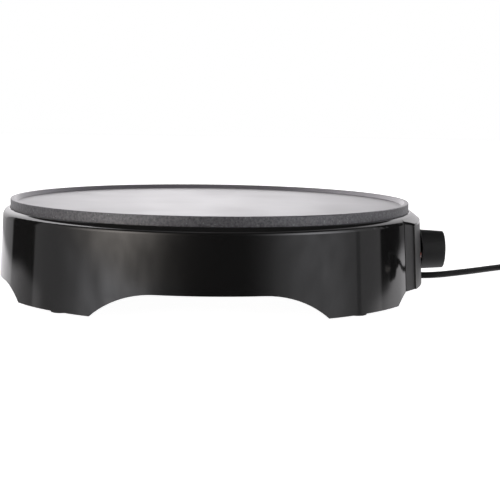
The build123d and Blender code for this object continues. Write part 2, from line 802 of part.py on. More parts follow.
def thermostat_blade_places():
    return [(-12.0, knob_height + 3.0), (12.0, knob_height + 3.0)]


def make_thermostat_terminals():
    blades = Part()
    back = thermostat_back()
    for y, z in thermostat_blade_places():
        blades += block(
            (back - blade_length, back), (y - blade_width / 2, y + blade_width / 2),
            (z - blade_thickness / 2, z + blade_thickness / 2),
        )
    return blades


def make_thermostat_shaft():
    start = pad_x - bracket_thickness - shaft_depth
    end = knob_base_x + knob_length - knob_wall - 0.3
    shaft = rod(shaft_radius, (start, 0, knob_height), (end, 0, knob_height))
    flat_start = end - shaft_grip + 1.0
    return shaft - block((flat_start, end + 1), (-5, 5), (knob_height + shaft_radius - 1.2, knob_height + 5))


def make_knob():
    base, tip = knob_base_x, knob_tip_x
    points = [(0, base), (knob_radius, base), (knob_radius - knob_taper, tip), (0, tip)]
    upright = Plane(origin=(0, 0, knob_height), x_dir=(0, 0, 1), z_dir=(0, 1, 0))
    knob = revolve(upright * make_face(Polyline(*points, close=True)), Axis((0, 0, knob_height), (1, 0, 0)))
    knob = fillet(knob.edges().filter_by(GeomType.CIRCLE).sort_by(Axis.X)[-1], knob_edge)
    hollow_radius = knob_radius - knob_taper - knob_wall
    hub = rod(knob_hub_radius, (base, 0, knob_height), (tip - knob_wall, 0, knob_height))
    knob -= rod(hollow_radius, (base - 1, 0, knob_height), (tip - knob_wall, 0, knob_height)) - hub
    bore = rod(shaft_radius + 0.02, (base - 1, 0, knob_height), (tip - knob_wall, 0, knob_height))
    flat_start = tip - knob_wall - 0.3 - shaft_grip + 1.0
    bore -= block((flat_start, tip), (-5, 5), (knob_height + shaft_radius - 1.2 + 0.02, knob_height + 6))
    knob -= bore
    # Pointer groove on the end face, pointing up at rest.
    return knob - block((tip - 0.6, tip + 1), (-0.6, 0.6), (knob_height + 4.0, knob_height + knob_radius))


# ---- Sensor ------------------------------------------------------------------------------

def bulb_z():
    return plate_underside - bulb_radius


def make_sensor_bulb():
    start = (bulb_start, -bulb_offset, bulb_z())
    return rod(bulb_radius, start, (bulb_start + bulb_length, -bulb_offset, bulb_z()))


def make_bulb_clips():
    clips = Part()
    z = bulb_z()
    for x in (bulb_start + clip_width, bulb_start + bulb_length - clip_width):
        y = -bulb_offset
        outer = bulb_radius + snug_clearance + clip_thickness
        inner = outer - clip_thickness
        width = (x - clip_width / 2, x + clip_width / 2)
        strap = block(width, (y - outer, y + outer), (z - outer, plate_underside))
        room = (x - clip_width, x + clip_width)
        strap -= block(room, (y - inner, y + inner), (z - inner, plate_underside + 1))
        wing = (y + inner, y + outer + clip_wing)
        clips += strap + block(width, wing, (plate_underside - clip_thickness, plate_underside))
    return clips


def capillary_points():
    """Hand-placed: out of the bulb, under the heater, down through the shield, to the thermostat."""
    y = -bulb_offset
    start_x = bulb_start + bulb_length
    back = thermostat_back()
    end_z = knob_height - thermostat_drop + thermostat_height - 5.0
    return [
        (start_x, y, bulb_z()), (start_x + 4, y, bulb_z()), (start_x + 10, y, spacer_bottom + 3.6),
        (start_x + 21, y, spacer_bottom + 2.2), (capillary_hole_x - 3, y, spacer_bottom + 2.0),
        (capillary_hole_x + 1.5, y + 0.3, shield_z - 4.0), (capillary_hole_x + 6, y + 6, end_z + 1.5),
        (back - 6, y + 16, end_z), (back, y + 16, end_z),
    ]


# ---- Mains parts -------------------------------------------------------------------------

def clamp_screw_places():
    x = outlet_x - outlet_length / 2 - clamp_setback
    return [(x, outlet_y - clamp_screw_offset), (x, outlet_y + clamp_screw_offset)]


def make_strain_relief():
    start = outlet_x + outlet_length / 2
    axis = Axis((0, outlet_y, outlet_height), (1, 0, 0))
    flange_start = start - relief_neck_length
    profile = [
        (flange_start, cord_radius), (flange_start, relief_flange_radius),
        (flange_start + relief_flange_length - 0.1, relief_flange_radius),
        (flange_start + relief_flange_length - 0.1, relief_root_radius), (start, relief_root_radius),
        (start + relief_length, relief_tip_radius), (start + relief_length, cord_radius),
    ]
    side = Plane(origin=(0, outlet_y, outlet_height), x_dir=(1, 0, 0), z_dir=(0, -1, 0))
    relief = revolve(side * make_face(Polyline(*profile, close=True)), axis)
    for k in range(4):
        x = start + 4.0 + k * 4.0
        notch = block((x, x + 1.6), (outlet_y - 6, outlet_y + 6), (outlet_height - 6, outlet_height + 6))
        core = rod(cord_radius + 0.35, (x - 1, outlet_y, outlet_height), (x + 3, outlet_y, outlet_height))
        gap = notch - core
        half = block((x - 1, x + 3), (outlet_y - 6, outlet_y + 6), (outlet_height - 1.2, outlet_height + 1.2))
        relief -= gap - half
    return relief


def make_cord_clamp():
    (x, y_low), (_, y_high) = clamp_screw_places()
    half, end = clamp_length / 2, clamp_length / 2
    clamp = block((x - half, x + half), (y_low - end, y_high + end), (cover_top, cover_top + clamp_height))
    z = cover_top + core_height
    for y in (outlet_y - core_offset, outlet_y + core_offset):
        clamp -= rod(wire_radius + wire_gap, (x - clamp_length, y, z), (x + clamp_length, y, z))
    for px, py in clamp_screw_places():
        bore = small_screw_radius + screw_clearance
        clamp -= post(bore, cover_top - 1, cover_top + clamp_height + 1, px, py)
    return clamp


def make_cord_clamp_screws():
    screws = Part()
    for x, y in clamp_screw_places():
        screws += screw(small_screw_radius, cover_top + clamp_height, cover_height + 0.2, True, x, y)
    return screws


def terminal_screw_places():
    reach = block_length / 2 - block_ear / 2
    return [(block_x - reach, block_y), (block_x + reach, block_y)]


def port(k):
    """Middle of the terminal block's hole k (-1, 0 or 1): its X and height."""
    return block_x + k * port_pitch, cover_top + port_height


def make_terminal_block():
    half_l, half_w, ear = block_length / 2, block_width / 2, block_ear / 2
    body = block(
        (block_x - half_l, block_x + half_l), (block_y - half_w, block_y + half_w),
        (cover_top, cover_top + block_height),
    )
    for x, y in terminal_screw_places():
        above = (cover_top + block_ear_height, cover_top + block_height + 1)
        body -= block((x - ear, x + ear), (y - block_width, y + block_width), above)
        bore = small_screw_radius + screw_clearance
        body -= post(bore, cover_top - 1, cover_top + block_ear_height + 1, x, y)
    for k in (-1, 0, 1):
        x, z = port(k)
        body -= rod(wire_radius + 0.7, (x, block_y - block_width, z), (x, block_y + block_width, z))
    return body


def make_terminal_block_screws():
    screws = Part()
    for x, y in terminal_screw_places():
        screws += screw(small_screw_radius, cover_top + block_ear_height, cover_height + 0.2, True, x, y)
    return screws


def fuse_z():
    return shield_z - clip_thickness - fuse_radius


def make_thermal_fuse():
    half, z = fuse_length / 2, fuse_z()
    return rod(fuse_radius, (fuse_x - half, fuse_y, z), (fuse_x + half, fuse_y, z))


def make_fuse_clip():
    half, outer = clip_width / 2, fuse_radius + snug_clearance + clip_thickness
    z = fuse_z()
    clip = block((fuse_x - half, fuse_x + half), (fuse_y - outer, fuse_y + outer), (z - outer, shield_z))
    bore = fuse_radius + snug_clearance
    clip -= rod(bore, (fuse_x - clip_width, fuse_y, z), (fuse_x + clip_width, fuse_y, z))
    wing = (fuse_y + outer - clip_thickness, fuse_y + outer + clip_wing)
    return clip + block((fuse_x - half, fuse_x + half), wing, (shield_z - clip_thickness, shield_z))


def wire_routes():
    """Hand-placed routes of the inner wires, each ending at what it is joined to."""
    clamp_x = clamp_screw_places()[0][0]
    low = cover_top + core_height
    near, far = block_y - block_width / 2, block_y + block_width / 2
    (return_x, port_z), (line_x, _) = port(-1), port(1)
    tag_x = thermostat_back() - blade_length - wire_gap
    (front_y, blade_z), (rear_y, _) = thermostat_blade_places()
    (front_end, rear_end) = element_ends()
    pin_z = element_z - element_drop - terminal_length - wire_gap
    fuse_far, fuse_near = fuse_x - fuse_length / 2 - wire_gap, fuse_x + fuse_length / 2 + wire_gap
    line_y, return_y = outlet_y + core_offset, outlet_y - core_offset
    post_x, post_y = max(plate_screw_places(), key=sum)
    rise = [
        (outlet_x - 3, outlet_height + 3), (outlet_x - 3.4, cover_top + 2.1),
        (outlet_x - 6.6, cover_top + 5.9), (outlet_x - 10.4, cover_top + 2.9), (clamp_x + 6.3, low),
    ]
    return {
        "wire_line_in": [(x, line_y, z) for x, z in rise] + [
            (clamp_x - 10, line_y, low), (line_x + 0.4, near - 5, port_z - 0.6), (line_x, near + 2, port_z),
        ],
        "wire_return_in": [(x, return_y, z) for x, z in rise] + [
            (clamp_x - 14, return_y, low), (return_x + 1.2, return_y + 7, low + 1.7),
            (return_x, near - 3, port_z - 0.5), (return_x, near + 3, port_z),
        ],
        "wire_thermostat": [
            (line_x, far - 2, port_z), (line_x + 0.4, far + 6, port_z + 1),
            (line_x + 16, far + 8, port_z + 4),
            (post_x + 8.6, post_y + 7.6, port_z + 6), (post_x + 22.6, post_y - 19.4, port_z + 7),
            (tag_x - 10, rear_y + 18, blade_z + 1), (tag_x - 6, rear_y, blade_z), (tag_x, rear_y, blade_z),
        ],
        "wire_element": [
            (tag_x, front_y, blade_z), (tag_x - 7, front_y, blade_z),
            (front_end[0] + 10, front_end[1] + 3, pin_z - 5), (front_end[0], front_end[1], pin_z - 5.5),
            (front_end[0], front_end[1], pin_z),
        ],
        "wire_fuse": [
            (rear_end[0], rear_end[1], pin_z), (rear_end[0], rear_end[1], pin_z - 5),
            (rear_end[0] - 14, rear_end[1] + 8, pin_z - 4), (fuse_near + 9, fuse_y, fuse_z()),
            (fuse_near, fuse_y, fuse_z()),
        ],
        "wire_return": [
            (fuse_far, fuse_y, fuse_z()), (fuse_far - 8, fuse_y, fuse_z()),
            (fuse_far - 12, fuse_y + 17, fuse_z() - 6), (block_x - 22.2, block_y + 8, port_z + 6),
            (return_x - 8, far + 7, port_z + 2), (return_x - 0.4, far + 6, port_z + 0.6),
            (return_x, far - 2, port_z),
        ],
    }


def lamp_lead_routes():
    """Two thin leads, from the indicator lamps' backs over the legs' inner wall to the tags."""
    lamp_end = lens_back() - loose_clearance - lamp_length
    back = thermostat_back()
    routes = {}
    for (name, angle), (y, z) in zip(lamp_places().items(), thermostat_blade_places()):
        side = 1 if y > 0 else -1
        radial = [(lamp_end - wire_gap, 0), (lamp_end - 1.6, 0), (lamp_end - 4.2, 1.9), (lamp_end - 7.5, 2.0)]
        c, s = cos(radians(angle)), sin(radians(angle))
        edge = side * (blade_width / 2 + wire_gap)
        routes["lead_" + name + "_lamp"] = [(r * c, r * s, knob_height + rise) for r, rise in radial] + [
            (back - 3.5, y + side * 15.5, z - 0.9), (back - blade_length / 2, y + side * 8.5, z),
            (back - blade_length / 2, y + edge, z),
        ]
    return routes


# ---- Power cord --------------------------------------------------------------------------

def cord_route():
    """Control points of the free cord, from the strain relief's tip to the coil."""
    floor = cord_radius + 0.05
    tip = relief_tip_x
    return [
        (tip, outlet_y, outlet_height), (tip + 13, outlet_y, outlet_height - 1.2),
        (tip + 26, outlet_y - 0.2, floor + 1.4), (tip + 41, outlet_y - 0.9, floor + 0.05),
        (tip + 57, 60.8, floor), (tip + 72, 65.2, floor), (tip + 88, 76.8, floor),
        (tip + 108, 92.0, floor), (tip + 128, 109.0, floor), (tip + 148, 124.5, floor),
        (tip + 171.5, 134.8, floor),
    ]


def tail_route():
    """Control points of the cord's end, from the coil to the plug's neck."""
    outer = cord_turn_radius + cord_coil_side / 4
    low, level = cord_radius + 0.05, plug_thickness / 2
    x = coil_x + outer
    return [
        (x, coil_y - 6, low), (x + 0.4, coil_y - 20, low + 0.4), (x - 1.0, coil_y - 35, low + 5.0),
        (x - 3.0, coil_y - 50, level), (x - 3.4, coil_y - 62, level),
    ]


def make_cord_coil():
    half = cord_coil_side / 2
    inner, outer = cord_turn_radius - half, cord_turn_radius + half
    coil = turned([(inner, 0.05), (outer, 0.05), (outer, cord_coil_side), (inner, cord_coil_side)])
    return Pos(coil_x, coil_y, 0) * fillet(coil.edges().filter_by(GeomType.CIRCLE), cord_radius * 0.9)


def plug_plane():
    """At the plug's rear end: X along the width, Z along the pins' direction."""
    end = Vector(*tail_route()[-1])
    before = Vector(*tail_route()[-2])
    along = Vector(end.X - before.X, end.Y - before.Y, 0).normalized()
    return Plane(origin=(end.X, end.Y, plug_thickness / 2), x_dir=(-along.Y, along.X, 0), z_dir=along)


def make_plug_body():
    base = plug_plane()
    shoulder_z0, body_z0 = plug_neck_length - 1.0, plug_neck_length + plug_taper_length
    neck = loft([
        Circle(plug_neck_radius - 0.8),
        Pos(0, 0, plug_neck_length) * Circle(plug_neck_radius + 1.2),
    ])
    shoulder = loft([
        Pos(0, 0, shoulder_z0) * SlotOverall(plug_width * 0.55, plug_thickness * 0.5),
        Pos(0, 0, body_z0) * SlotOverall(plug_width * 0.86, plug_thickness * 0.86),
    ])
    outline = Pos(0, 0, body_z0) * SlotOverall(plug_width, plug_thickness - 0.1)
    body = extrude(outline, plug_length - plug_taper_length)
    body = fillet(body.edges().group_by(Axis.Z)[0] + body.edges().group_by(Axis.Z)[-1], 1.8)
    return base * (neck + shoulder + body)


def make_plug_pins():
    base = plug_plane()
    face = plug_neck_length + plug_length
    pins = Part()
    for side in (-1, 1):
        pin = Cylinder(pin_radius, pin_length, align=(Align.CENTER, Align.CENTER, Align.MIN))
        pin = fillet(pin.edges().sort_by(Axis.Z)[-1], pin_radius * 0.6)
        pins += base * (Pos(side * pin_spacing / 2, 0, face) * pin)
    return pins


# ---- Build and write ---------------------------------------------------------------------

def make_all():
    nodes = {
        "hotplate": make_hotplate(),
        "heating_element": make_heating_element(),
        "element_terminals": make_element_terminals(),
        "heat_shield": make_heat_shield(),
        "plate_spacers": make_plate_spacers(),
        "plate_screws": make_plate_screws(),
        "housing": make_housing(),
        "base_cover": make_base_cover(),
        "base_cover_screws": make_cover_screws(),
        "control_frame": make_control_frame(),
        "control_panel": make_control_panel(),
        "power_lamp_lens": make_lamp_lens(lamp_places()["power"]),
        "ready_lamp_lens": make_lamp_lens(lamp_places()["ready"]),
        "indicator_lamps": make_indicator_lamps(),
        "thermostat_bracket": make_thermostat_bracket(),
        "thermostat_screws": make_thermostat_screws(),
        "thermostat_body": make_thermostat_body(),
        "thermostat_terminals": make_thermostat_terminals(),
        "thermostat_shaft": make_thermostat_shaft(),
        "control_frame_screws": make_frame_screws(),
        "knob": make_knob(),
        "sensor_bulb": make_sensor_bulb(),
        "bulb_clips": make_bulb_clips(),
        "capillary_tube": pipe(capillary_points(), capillary_radius)[0],
        "strain_relief": make_strain_relief(),
        "cord_clamp": make_cord_clamp(),
        "cord_clamp_screws": make_cord_clamp_screws(),
        "terminal_block": make_terminal_block(),
        "terminal_block_screws": make_terminal_block_screws(),
        "thermal_fuse": make_thermal_fuse(),
        "fuse_clip": make_fuse_clip(),
        "cord_coil": make_cord_coil(),
        "plug_body": make_plug_body(),
        "plug_pins": make_plug_pins(),
    }
    nodes.update(make_feet())
    for name, route in wire_routes().items():
        nodes[name] = pipe(route, wire_radius)[0]
    for name, route in lamp_lead_routes().items():
        nodes[name] = pipe(route, lead_radius)[0]
    for name, route in {"power_cord": cord_route(), "cord_tail": tail_route()}.items():
        tube, path, radii = pipe(route, cord_radius)
        section = pi * cord_radius**2
        ratio = tube.volume / (section * path.length)
        print(name, "length", round(path.length, 1), "volume ratio", round(ratio, 4))
        print(name, "radii", [round(r, 1) for r in radii])
        nodes[name] = tube
    return nodes


os.makedirs("parts", exist_ok=True)
for name, solid in make_all().items():
    export_step(Pos(to_middle) * solid, "parts/" + name + ".step")
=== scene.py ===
import json
import math

import bpy
import bmesh
from mathutils import Matrix, Vector


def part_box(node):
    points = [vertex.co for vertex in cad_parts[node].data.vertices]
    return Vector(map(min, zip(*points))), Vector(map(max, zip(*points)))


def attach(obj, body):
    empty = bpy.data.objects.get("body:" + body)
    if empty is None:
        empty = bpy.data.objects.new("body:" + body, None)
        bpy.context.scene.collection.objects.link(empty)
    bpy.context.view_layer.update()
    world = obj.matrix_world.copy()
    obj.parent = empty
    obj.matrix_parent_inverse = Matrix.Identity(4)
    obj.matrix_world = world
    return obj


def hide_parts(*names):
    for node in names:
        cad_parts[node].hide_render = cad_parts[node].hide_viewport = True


# Electric crepe maker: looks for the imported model. Metres, +Z up, table at Z = 0.
# The knob and the cord are on the +X side and the front faces -Y.

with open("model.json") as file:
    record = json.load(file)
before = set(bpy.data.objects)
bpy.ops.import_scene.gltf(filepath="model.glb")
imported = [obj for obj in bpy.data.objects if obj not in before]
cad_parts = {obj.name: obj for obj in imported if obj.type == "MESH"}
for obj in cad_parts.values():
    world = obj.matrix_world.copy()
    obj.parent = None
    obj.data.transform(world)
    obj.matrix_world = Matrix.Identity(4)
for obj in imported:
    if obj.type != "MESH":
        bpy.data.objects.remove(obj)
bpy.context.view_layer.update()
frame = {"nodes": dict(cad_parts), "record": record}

MM = 0.001

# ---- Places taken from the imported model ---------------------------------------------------

plate_low, plate_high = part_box("hotplate")
axis_x = (plate_low.x + plate_high.x) / 2       # the hotplate's axis
relief_low, relief_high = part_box("strain_relief")


# ---- Small helpers ------------------------------------------------------------------------

def at(x, y, z):
    """Point in the row frame from millimetres about the hotplate's axis."""
    return Vector((axis_x + x * MM, y * MM, z * MM))


def link(obj):
    bpy.context.scene.collection.objects.link(obj)
    return obj


# ---- Camera -------------------------------------------------------------------------------

def make_camera():
    data = bpy.data.cameras.new("camera")
    data.lens = 84.11
    data.sensor_width = 36.0
    data.clip_end = 50.0
    camera = link(bpy.data.objects.new("camera", data))
    place = at(0, -891.476, 140.949)
    right = Vector((0.99935496, -0.03245060, 0.01538265))
    up = Vector((-0.01123981, 0.12418962, 0.99219484))
    forward = Vector((0.03410768, 0.99172773, -0.12374477))
    turn = Matrix((right, up, -forward)).transposed().to_4x4()
    camera.matrix_world = Matrix.Translation(place) @ turn
    bpy.context.scene.camera = camera


make_camera()


# ---- Materials: shared effects ------------------------------------------------------------

class Nodes:
    """Short way to place and join shader nodes in a tree."""

    def __init__(self, tree):
        self.tree = tree

    def add(self, kind, **settings):
        node = self.tree.nodes.new(kind)
        for name, value in settings.items():
            setattr(node, name, value)
        return node

    def join(self, source, target):
        self.tree.links.new(source, target)

    def math(self, operation, a, b=None):
        node = self.add("ShaderNodeMath", operation=operation)
        for socket, value in zip(node.inputs, (a, b)):
            if value is None:
                continue
            if isinstance(value, (int, float)):
                socket.default_value = value
            else:
                self.join(value, socket)
        return node.outputs[0]

    def mix_color(self, factor, a, b, blend="MIX"):
        node = self.add("ShaderNodeMix", data_type="RGBA", blend_type=blend)
        for socket, value in zip((node.inputs[0], node.inputs[6], node.inputs[7]), (factor, a, b)):
            if hasattr(value, "is_linked"):
                self.join(value, socket)
            else:
                socket.default_value = value
        return node.outputs[2]

    def range(self, value, low, high, to_low=0.0, to_high=1.0):
        """A value's range mapped evenly onto another, and held at its ends."""
        node = self.add("ShaderNodeMapRange")
        node.inputs["From Min"].default_value = low
        node.inputs["From Max"].default_value = high
        node.inputs["To Min"].default_value = to_low
        node.inputs["To Max"].default_value = to_high
        self.join(value, node.inputs["Value"])
        return node.outputs[0]

    def smooth(self, value, low, high):
        """0 under the low value, 1 over the high one, eased between them."""
        node = self.add("ShaderNodeMapRange", interpolation_type="SMOOTHSTEP")
        node.inputs["From Min"].default_value = low
        node.inputs["From Max"].default_value = high
        self.join(value, node.inputs["Value"])
        return node.outputs[0]

    def noise(self, vector, scale, detail, roughness):
        node = self.add("ShaderNodeTexNoise")
        node.inputs["Scale"].default_value = scale
        node.inputs["Detail"].default_value = detail
        node.inputs["Roughness"].default_value = roughness
        self.join(vector, node.inputs["Vector"])
        return node.outputs["Fac"]


def new_group(name, inputs, outputs):
    """Empty shader node group with named float, colour or vector sockets."""
    tree = bpy.data.node_groups.new(name, "ShaderNodeTree")
    kinds = {"float": "NodeSocketFloat", "color": "NodeSocketColor", "vector": "NodeSocketVector"}
    for socket, kind, value in inputs:
        made = tree.interface.new_socket(socket, in_out="INPUT", socket_type=kinds[kind])
        if value is not None:
            made.default_value = value
    for socket, kind in outputs:
        tree.interface.new_socket(socket, in_out="OUTPUT", socket_type=kinds[kind])
    n = Nodes(tree)
    return n, n.add("NodeGroupInput"), n.add("NodeGroupOutput")


def make_grain_group():
    """Fine moulded or cast grain: a height for bump, and an uneven mask from 0 to 1."""
    n, entry, leave = new_group(
        "surface grain",
        [("Grain Size", "float", 0.5), ("Patch Size", "float", 20.0)],
        [("Height", "float"), ("Patches", "float")],
    )
    place = n.add("ShaderNodeTexCoord").outputs["Object"]
    fine = n.add("ShaderNodeTexNoise")
    fine.inputs["Detail"].default_value = 4.0
    fine.inputs["Roughness"].default_value = 0.65
    wide = n.add("ShaderNodeTexNoise")
    wide.inputs["Detail"].default_value = 3.0
    n.join(place, fine.inputs["Vector"])
    n.join(place, wide.inputs["Vector"])
    n.join(n.math("DIVIDE", 1.0 / MM, entry.outputs["Grain Size"]), fine.inputs["Scale"])
    n.join(n.math("DIVIDE", 1.0 / MM, entry.outputs["Patch Size"]), wide.inputs["Scale"])
    n.join(fine.outputs["Fac"], leave.inputs["Height"])
    n.join(n.range(wide.outputs["Fac"], 0.3, 0.7), leave.inputs["Patches"])
    return n.tree


def make_dust_group():
    """Sparse light specks, and a thin dust that lies on faces that look up."""
    n, entry, leave = new_group(
        "dust and specks",
        [("Speck Size", "float", 0.6), ("Speck Share", "float", 0.1), ("Dust", "float", 0.1)],
        [("Specks", "float"), ("Dust", "float")],
    )
    place = n.add("ShaderNodeTexCoord").outputs["Object"]
    cells = n.add("ShaderNodeTexVoronoi", feature="F1")
    n.join(place, cells.inputs["Vector"])
    n.join(n.math("DIVIDE", 1.0 / MM, entry.outputs["Speck Size"]), cells.inputs["Scale"])
    near = n.math("LESS_THAN", cells.outputs["Distance"], 0.22)
    split = n.add("ShaderNodeSeparateColor")
    n.join(cells.outputs["Color"], split.inputs["Color"])
    chosen = n.math("LESS_THAN", split.outputs["Red"], entry.outputs["Speck Share"])
    n.join(n.math("MULTIPLY", near, chosen), leave.inputs["Specks"])
    facing = n.add("ShaderNodeSeparateXYZ")
    n.join(n.add("ShaderNodeNewGeometry").outputs["Normal"], facing.inputs[0])
    up = n.range(facing.outputs["Z"], 0.3, 1.0)
    n.join(n.math("MULTIPLY", up, entry.outputs["Dust"]), leave.inputs["Dust"])
    return n.tree


def make_wear_group():
    """Mask of edges, from how much the surface turns across a small bevel."""
    n, entry, leave = new_group(
        "edge wear",
        [("Width", "float", 0.6 * MM), ("Breakup", "float", 4.0)],
        [("Edge", "float")],
    )
    bevel = n.add("ShaderNodeBevel", samples=4)
    n.join(entry.outputs["Width"], bevel.inputs["Radius"])
    geometry = n.add("ShaderNodeNewGeometry")
    dot = n.add("ShaderNodeVectorMath", operation="DOT_PRODUCT")
    n.join(bevel.outputs["Normal"], dot.inputs[0])
    n.join(geometry.outputs["Normal"], dot.inputs[1])
    turn = n.range(dot.outputs["Value"], 0.999, 0.93)
    place = n.add("ShaderNodeTexCoord").outputs["Object"]
    uneven = n.add("ShaderNodeTexNoise")
    n.join(place, uneven.inputs["Vector"])
    n.join(n.math("DIVIDE", 1.0 / MM, entry.outputs["Breakup"]), uneven.inputs["Scale"])
    n.join(n.math("MULTIPLY", turn, n.range(uneven.outputs["Fac"], 0.25, 0.65)), leave.inputs["Edge"])
    return n.tree


grain_group = make_grain_group()
dust_group = make_dust_group()
wear_group = make_wear_group()


class Finish:
    """One material: a Principled shader with the shared effects placed around it."""

    def __init__(self, name, color, roughness, metallic=0.0, ior=1.5, **sockets):
        self.material = bpy.data.materials.new(name)
        self.material.use_nodes = True
        self.material.node_tree.nodes.clear()
        self.n = Nodes(self.material.node_tree)
        self.shader = self.n.add("ShaderNodeBsdfPrincipled")
        out = self.n.add("ShaderNodeOutputMaterial")
        self.n.join(self.shader.outputs[0], out.inputs[0])
        self.color = self.tint(color)
        self.shader.inputs["Base Color"].default_value = self.color
        self.shader.inputs["Roughness"].default_value = roughness
        self.shader.inputs["Metallic"].default_value = metallic
        self.shader.inputs["IOR"].default_value = ior
        for socket, value in sockets.items():
            self.shader.inputs[socket.replace("_", " ")].default_value = value
        self.height = None

    @staticmethod
    def tint(color):
        """Colour with its alpha, from three values or from one grey."""
        if isinstance(color, (int, float)):
            color = (color, color, color)
        return (*color, 1.0)

    def group(self, tree, **values):
        """Outputs of a shared effect with these settings."""
        node = self.n.add("ShaderNodeGroup")
        node.node_tree = tree
        for socket, value in values.items():
            node.inputs[socket.replace("_", " ")].default_value = value
        return node.outputs

    def tint_by(self, mask, color):
        """Lays a colour over the colour so far, where the mask says."""
        self.color = self.n.mix_color(mask, self.color, self.tint(color))
        self.n.join(self.color, self.shader.inputs["Base Color"])

    def roughness_by(self, mask, low, high):
        self.n.join(self.n.range(mask, 0.0, 1.0, low, high), self.shader.inputs["Roughness"])

    def bump(self, height, distance):
        """Adds a relief to the relief so far."""
        node = self.n.add("ShaderNodeBump")
        node.inputs["Strength"].default_value = 1.0
        node.inputs["Distance"].default_value = distance
        self.n.join(height, node.inputs["Height"])
        if self.height is not None:
            self.n.join(self.height, node.inputs["Normal"])
        self.height = node.outputs["Normal"]
        self.n.join(self.height, self.shader.inputs["Normal"])


# ---- Materials ----------------------------------------------------------------------------

def gloss_black(name="gloss black", color=0.0085, roughness=0.055):
    """Polished black moulding: nearly a mirror, with faint waves and a thin dust."""
    finish = Finish(name, color, roughness)
    grain = finish.group(grain_group, Grain_Size=9.0, Patch_Size=45.0)
    dust = finish.group(dust_group, Speck_Size=1.6, Speck_Share=0.04, Dust=0.015)
    wear = finish.group(wear_group, Width=0.5 * MM, Breakup=5.0)
    finish.tint_by(dust["Dust"], 0.2)
    finish.roughness_by(grain["Patches"], roughness * 0.8, roughness * 1.5)
    finish.bump(grain["Height"], 0.006 * MM)
    finish.tint_by(finish.n.math("MULTIPLY", wear["Edge"], 0.08), 0.16)
    return finish.material


def matt_black():
    """Finely grained black moulding."""
    finish = Finish("matt black", 0.019, roughness=0.5)
    grain = finish.group(grain_group, Grain_Size=0.45, Patch_Size=25.0)
    wear = finish.group(wear_group, Width=0.6 * MM, Breakup=3.0)
    finish.tint_by(finish.n.math("MULTIPLY", wear["Edge"], 0.15), 0.12)
    finish.roughness_by(grain["Patches"], 0.46, 0.55)
    finish.bump(grain["Height"], 0.03 * MM)
    return finish.material


def nonstick_plate():
    """Coated cast plate: smooth satin on top, gritty round the side and below."""
    top_color = (0.150, 0.143, 0.158)
    top_patch_color = (0.2, 0.19, 0.205)
    side_color = (0.048, 0.048, 0.052)
    pit_color = (0.19, 0.19, 0.205)
    speck_color = 0.35
    finish = Finish("nonstick plate", top_color, roughness=0.3, metallic=0.2, ior=1.65)
    n = finish.n
    grain = finish.group(grain_group, Grain_Size=0.7, Patch_Size=45.0)
    grit = finish.group(grain_group, Grain_Size=1.6, Patch_Size=6.0)
    dust = finish.group(dust_group, Speck_Size=1.5, Speck_Share=0.10, Dust=0.05)
    place = n.add("ShaderNodeTexCoord").outputs["Object"]
    from_axis = n.add("ShaderNodeVectorMath", operation="SUBTRACT")
    n.join(place, from_axis.inputs[0])
    from_axis.inputs[1].default_value = at(0, 0, 0)
    level = n.add("ShaderNodeVectorMath", operation="MULTIPLY")
    n.join(from_axis.outputs[0], level.inputs[0])
    level.inputs[1].default_value = (1.0, 1.0, 0.0)
    outward = n.add("ShaderNodeVectorMath", operation="NORMALIZE")
    n.join(level.outputs[0], outward.inputs[0])
    turn = n.add("ShaderNodeVectorMath", operation="DOT_PRODUCT")
    n.join(outward.outputs[0], turn.inputs[0])
    normal = n.add("ShaderNodeNewGeometry").outputs["Normal"]
    n.join(normal, turn.inputs[1])
    facing = n.add("ShaderNodeSeparateXYZ")
    n.join(normal, facing.inputs[0])
    under = n.math("LESS_THAN", facing.outputs["Z"], -0.5)
    side = n.math("MAXIMUM", n.range(turn.outputs["Value"], 0.45, 0.85), under)
    top = n.math("SUBTRACT", 1.0, side)
    pits = n.math("MULTIPLY", side, n.range(grit["Height"], 0.35, 0.65))
    specks = n.math("MULTIPLY", side, dust["Specks"])
    patches = n.math("MULTIPLY", grain["Patches"], top)
    finish.tint_by(side, side_color)
    finish.tint_by(n.math("MULTIPLY", pits, 0.6), pit_color)
    finish.tint_by(n.math("MULTIPLY", specks, 0.6), speck_color)
    finish.tint_by(n.math("MULTIPLY", patches, 0.2), top_patch_color)
    rougher_side = n.math("MULTIPLY", side, 0.12)
    roughness = n.math("ADD", n.range(grain["Patches"], 0.0, 1.0, 0.30, 0.34), rougher_side)
    n.join(roughness, finish.shader.inputs["Roughness"])
    finish.bump(n.math("MULTIPLY", side, grit["Height"]), 0.2 * MM)
    finish.bump(n.math("MULTIPLY", side, grain["Height"]), 0.04 * MM)
    return finish.material


def plain_metal(name, color, roughness):
    """Plated, drawn or rolled metal with a faint uneven sheen."""
    finish = Finish(name, color, roughness, metallic=1.0)
    grain = finish.group(grain_group, Grain_Size=0.8, Patch_Size=6.0)
    wear = finish.group(wear_group, Width=0.3 * MM, Breakup=2.0)
    finish.roughness_by(grain["Patches"], max(0.05, roughness - 0.08), roughness + 0.1)
    bright = [min(1.0, 1.25 * c) for c in color]
    finish.tint_by(finish.n.math("MULTIPLY", wear["Edge"], 0.3), bright)
    finish.bump(grain["Height"], 0.01 * MM)
    return finish.material


def plain_moulding(name, color, roughness, grain_size=0.6):
    """Insulating moulding or ceramic: even colour with a slight grain and soiled patches."""
    finish = Finish(name, color, roughness)
    grain = finish.group(grain_group, Grain_Size=grain_size, Patch_Size=7.0)
    soiled = [0.82 * c for c in color]
    finish.tint_by(finish.n.math("MULTIPLY", grain["Patches"], 0.25), soiled)
    finish.bump(grain["Height"], 0.02 * MM)
    return finish.material


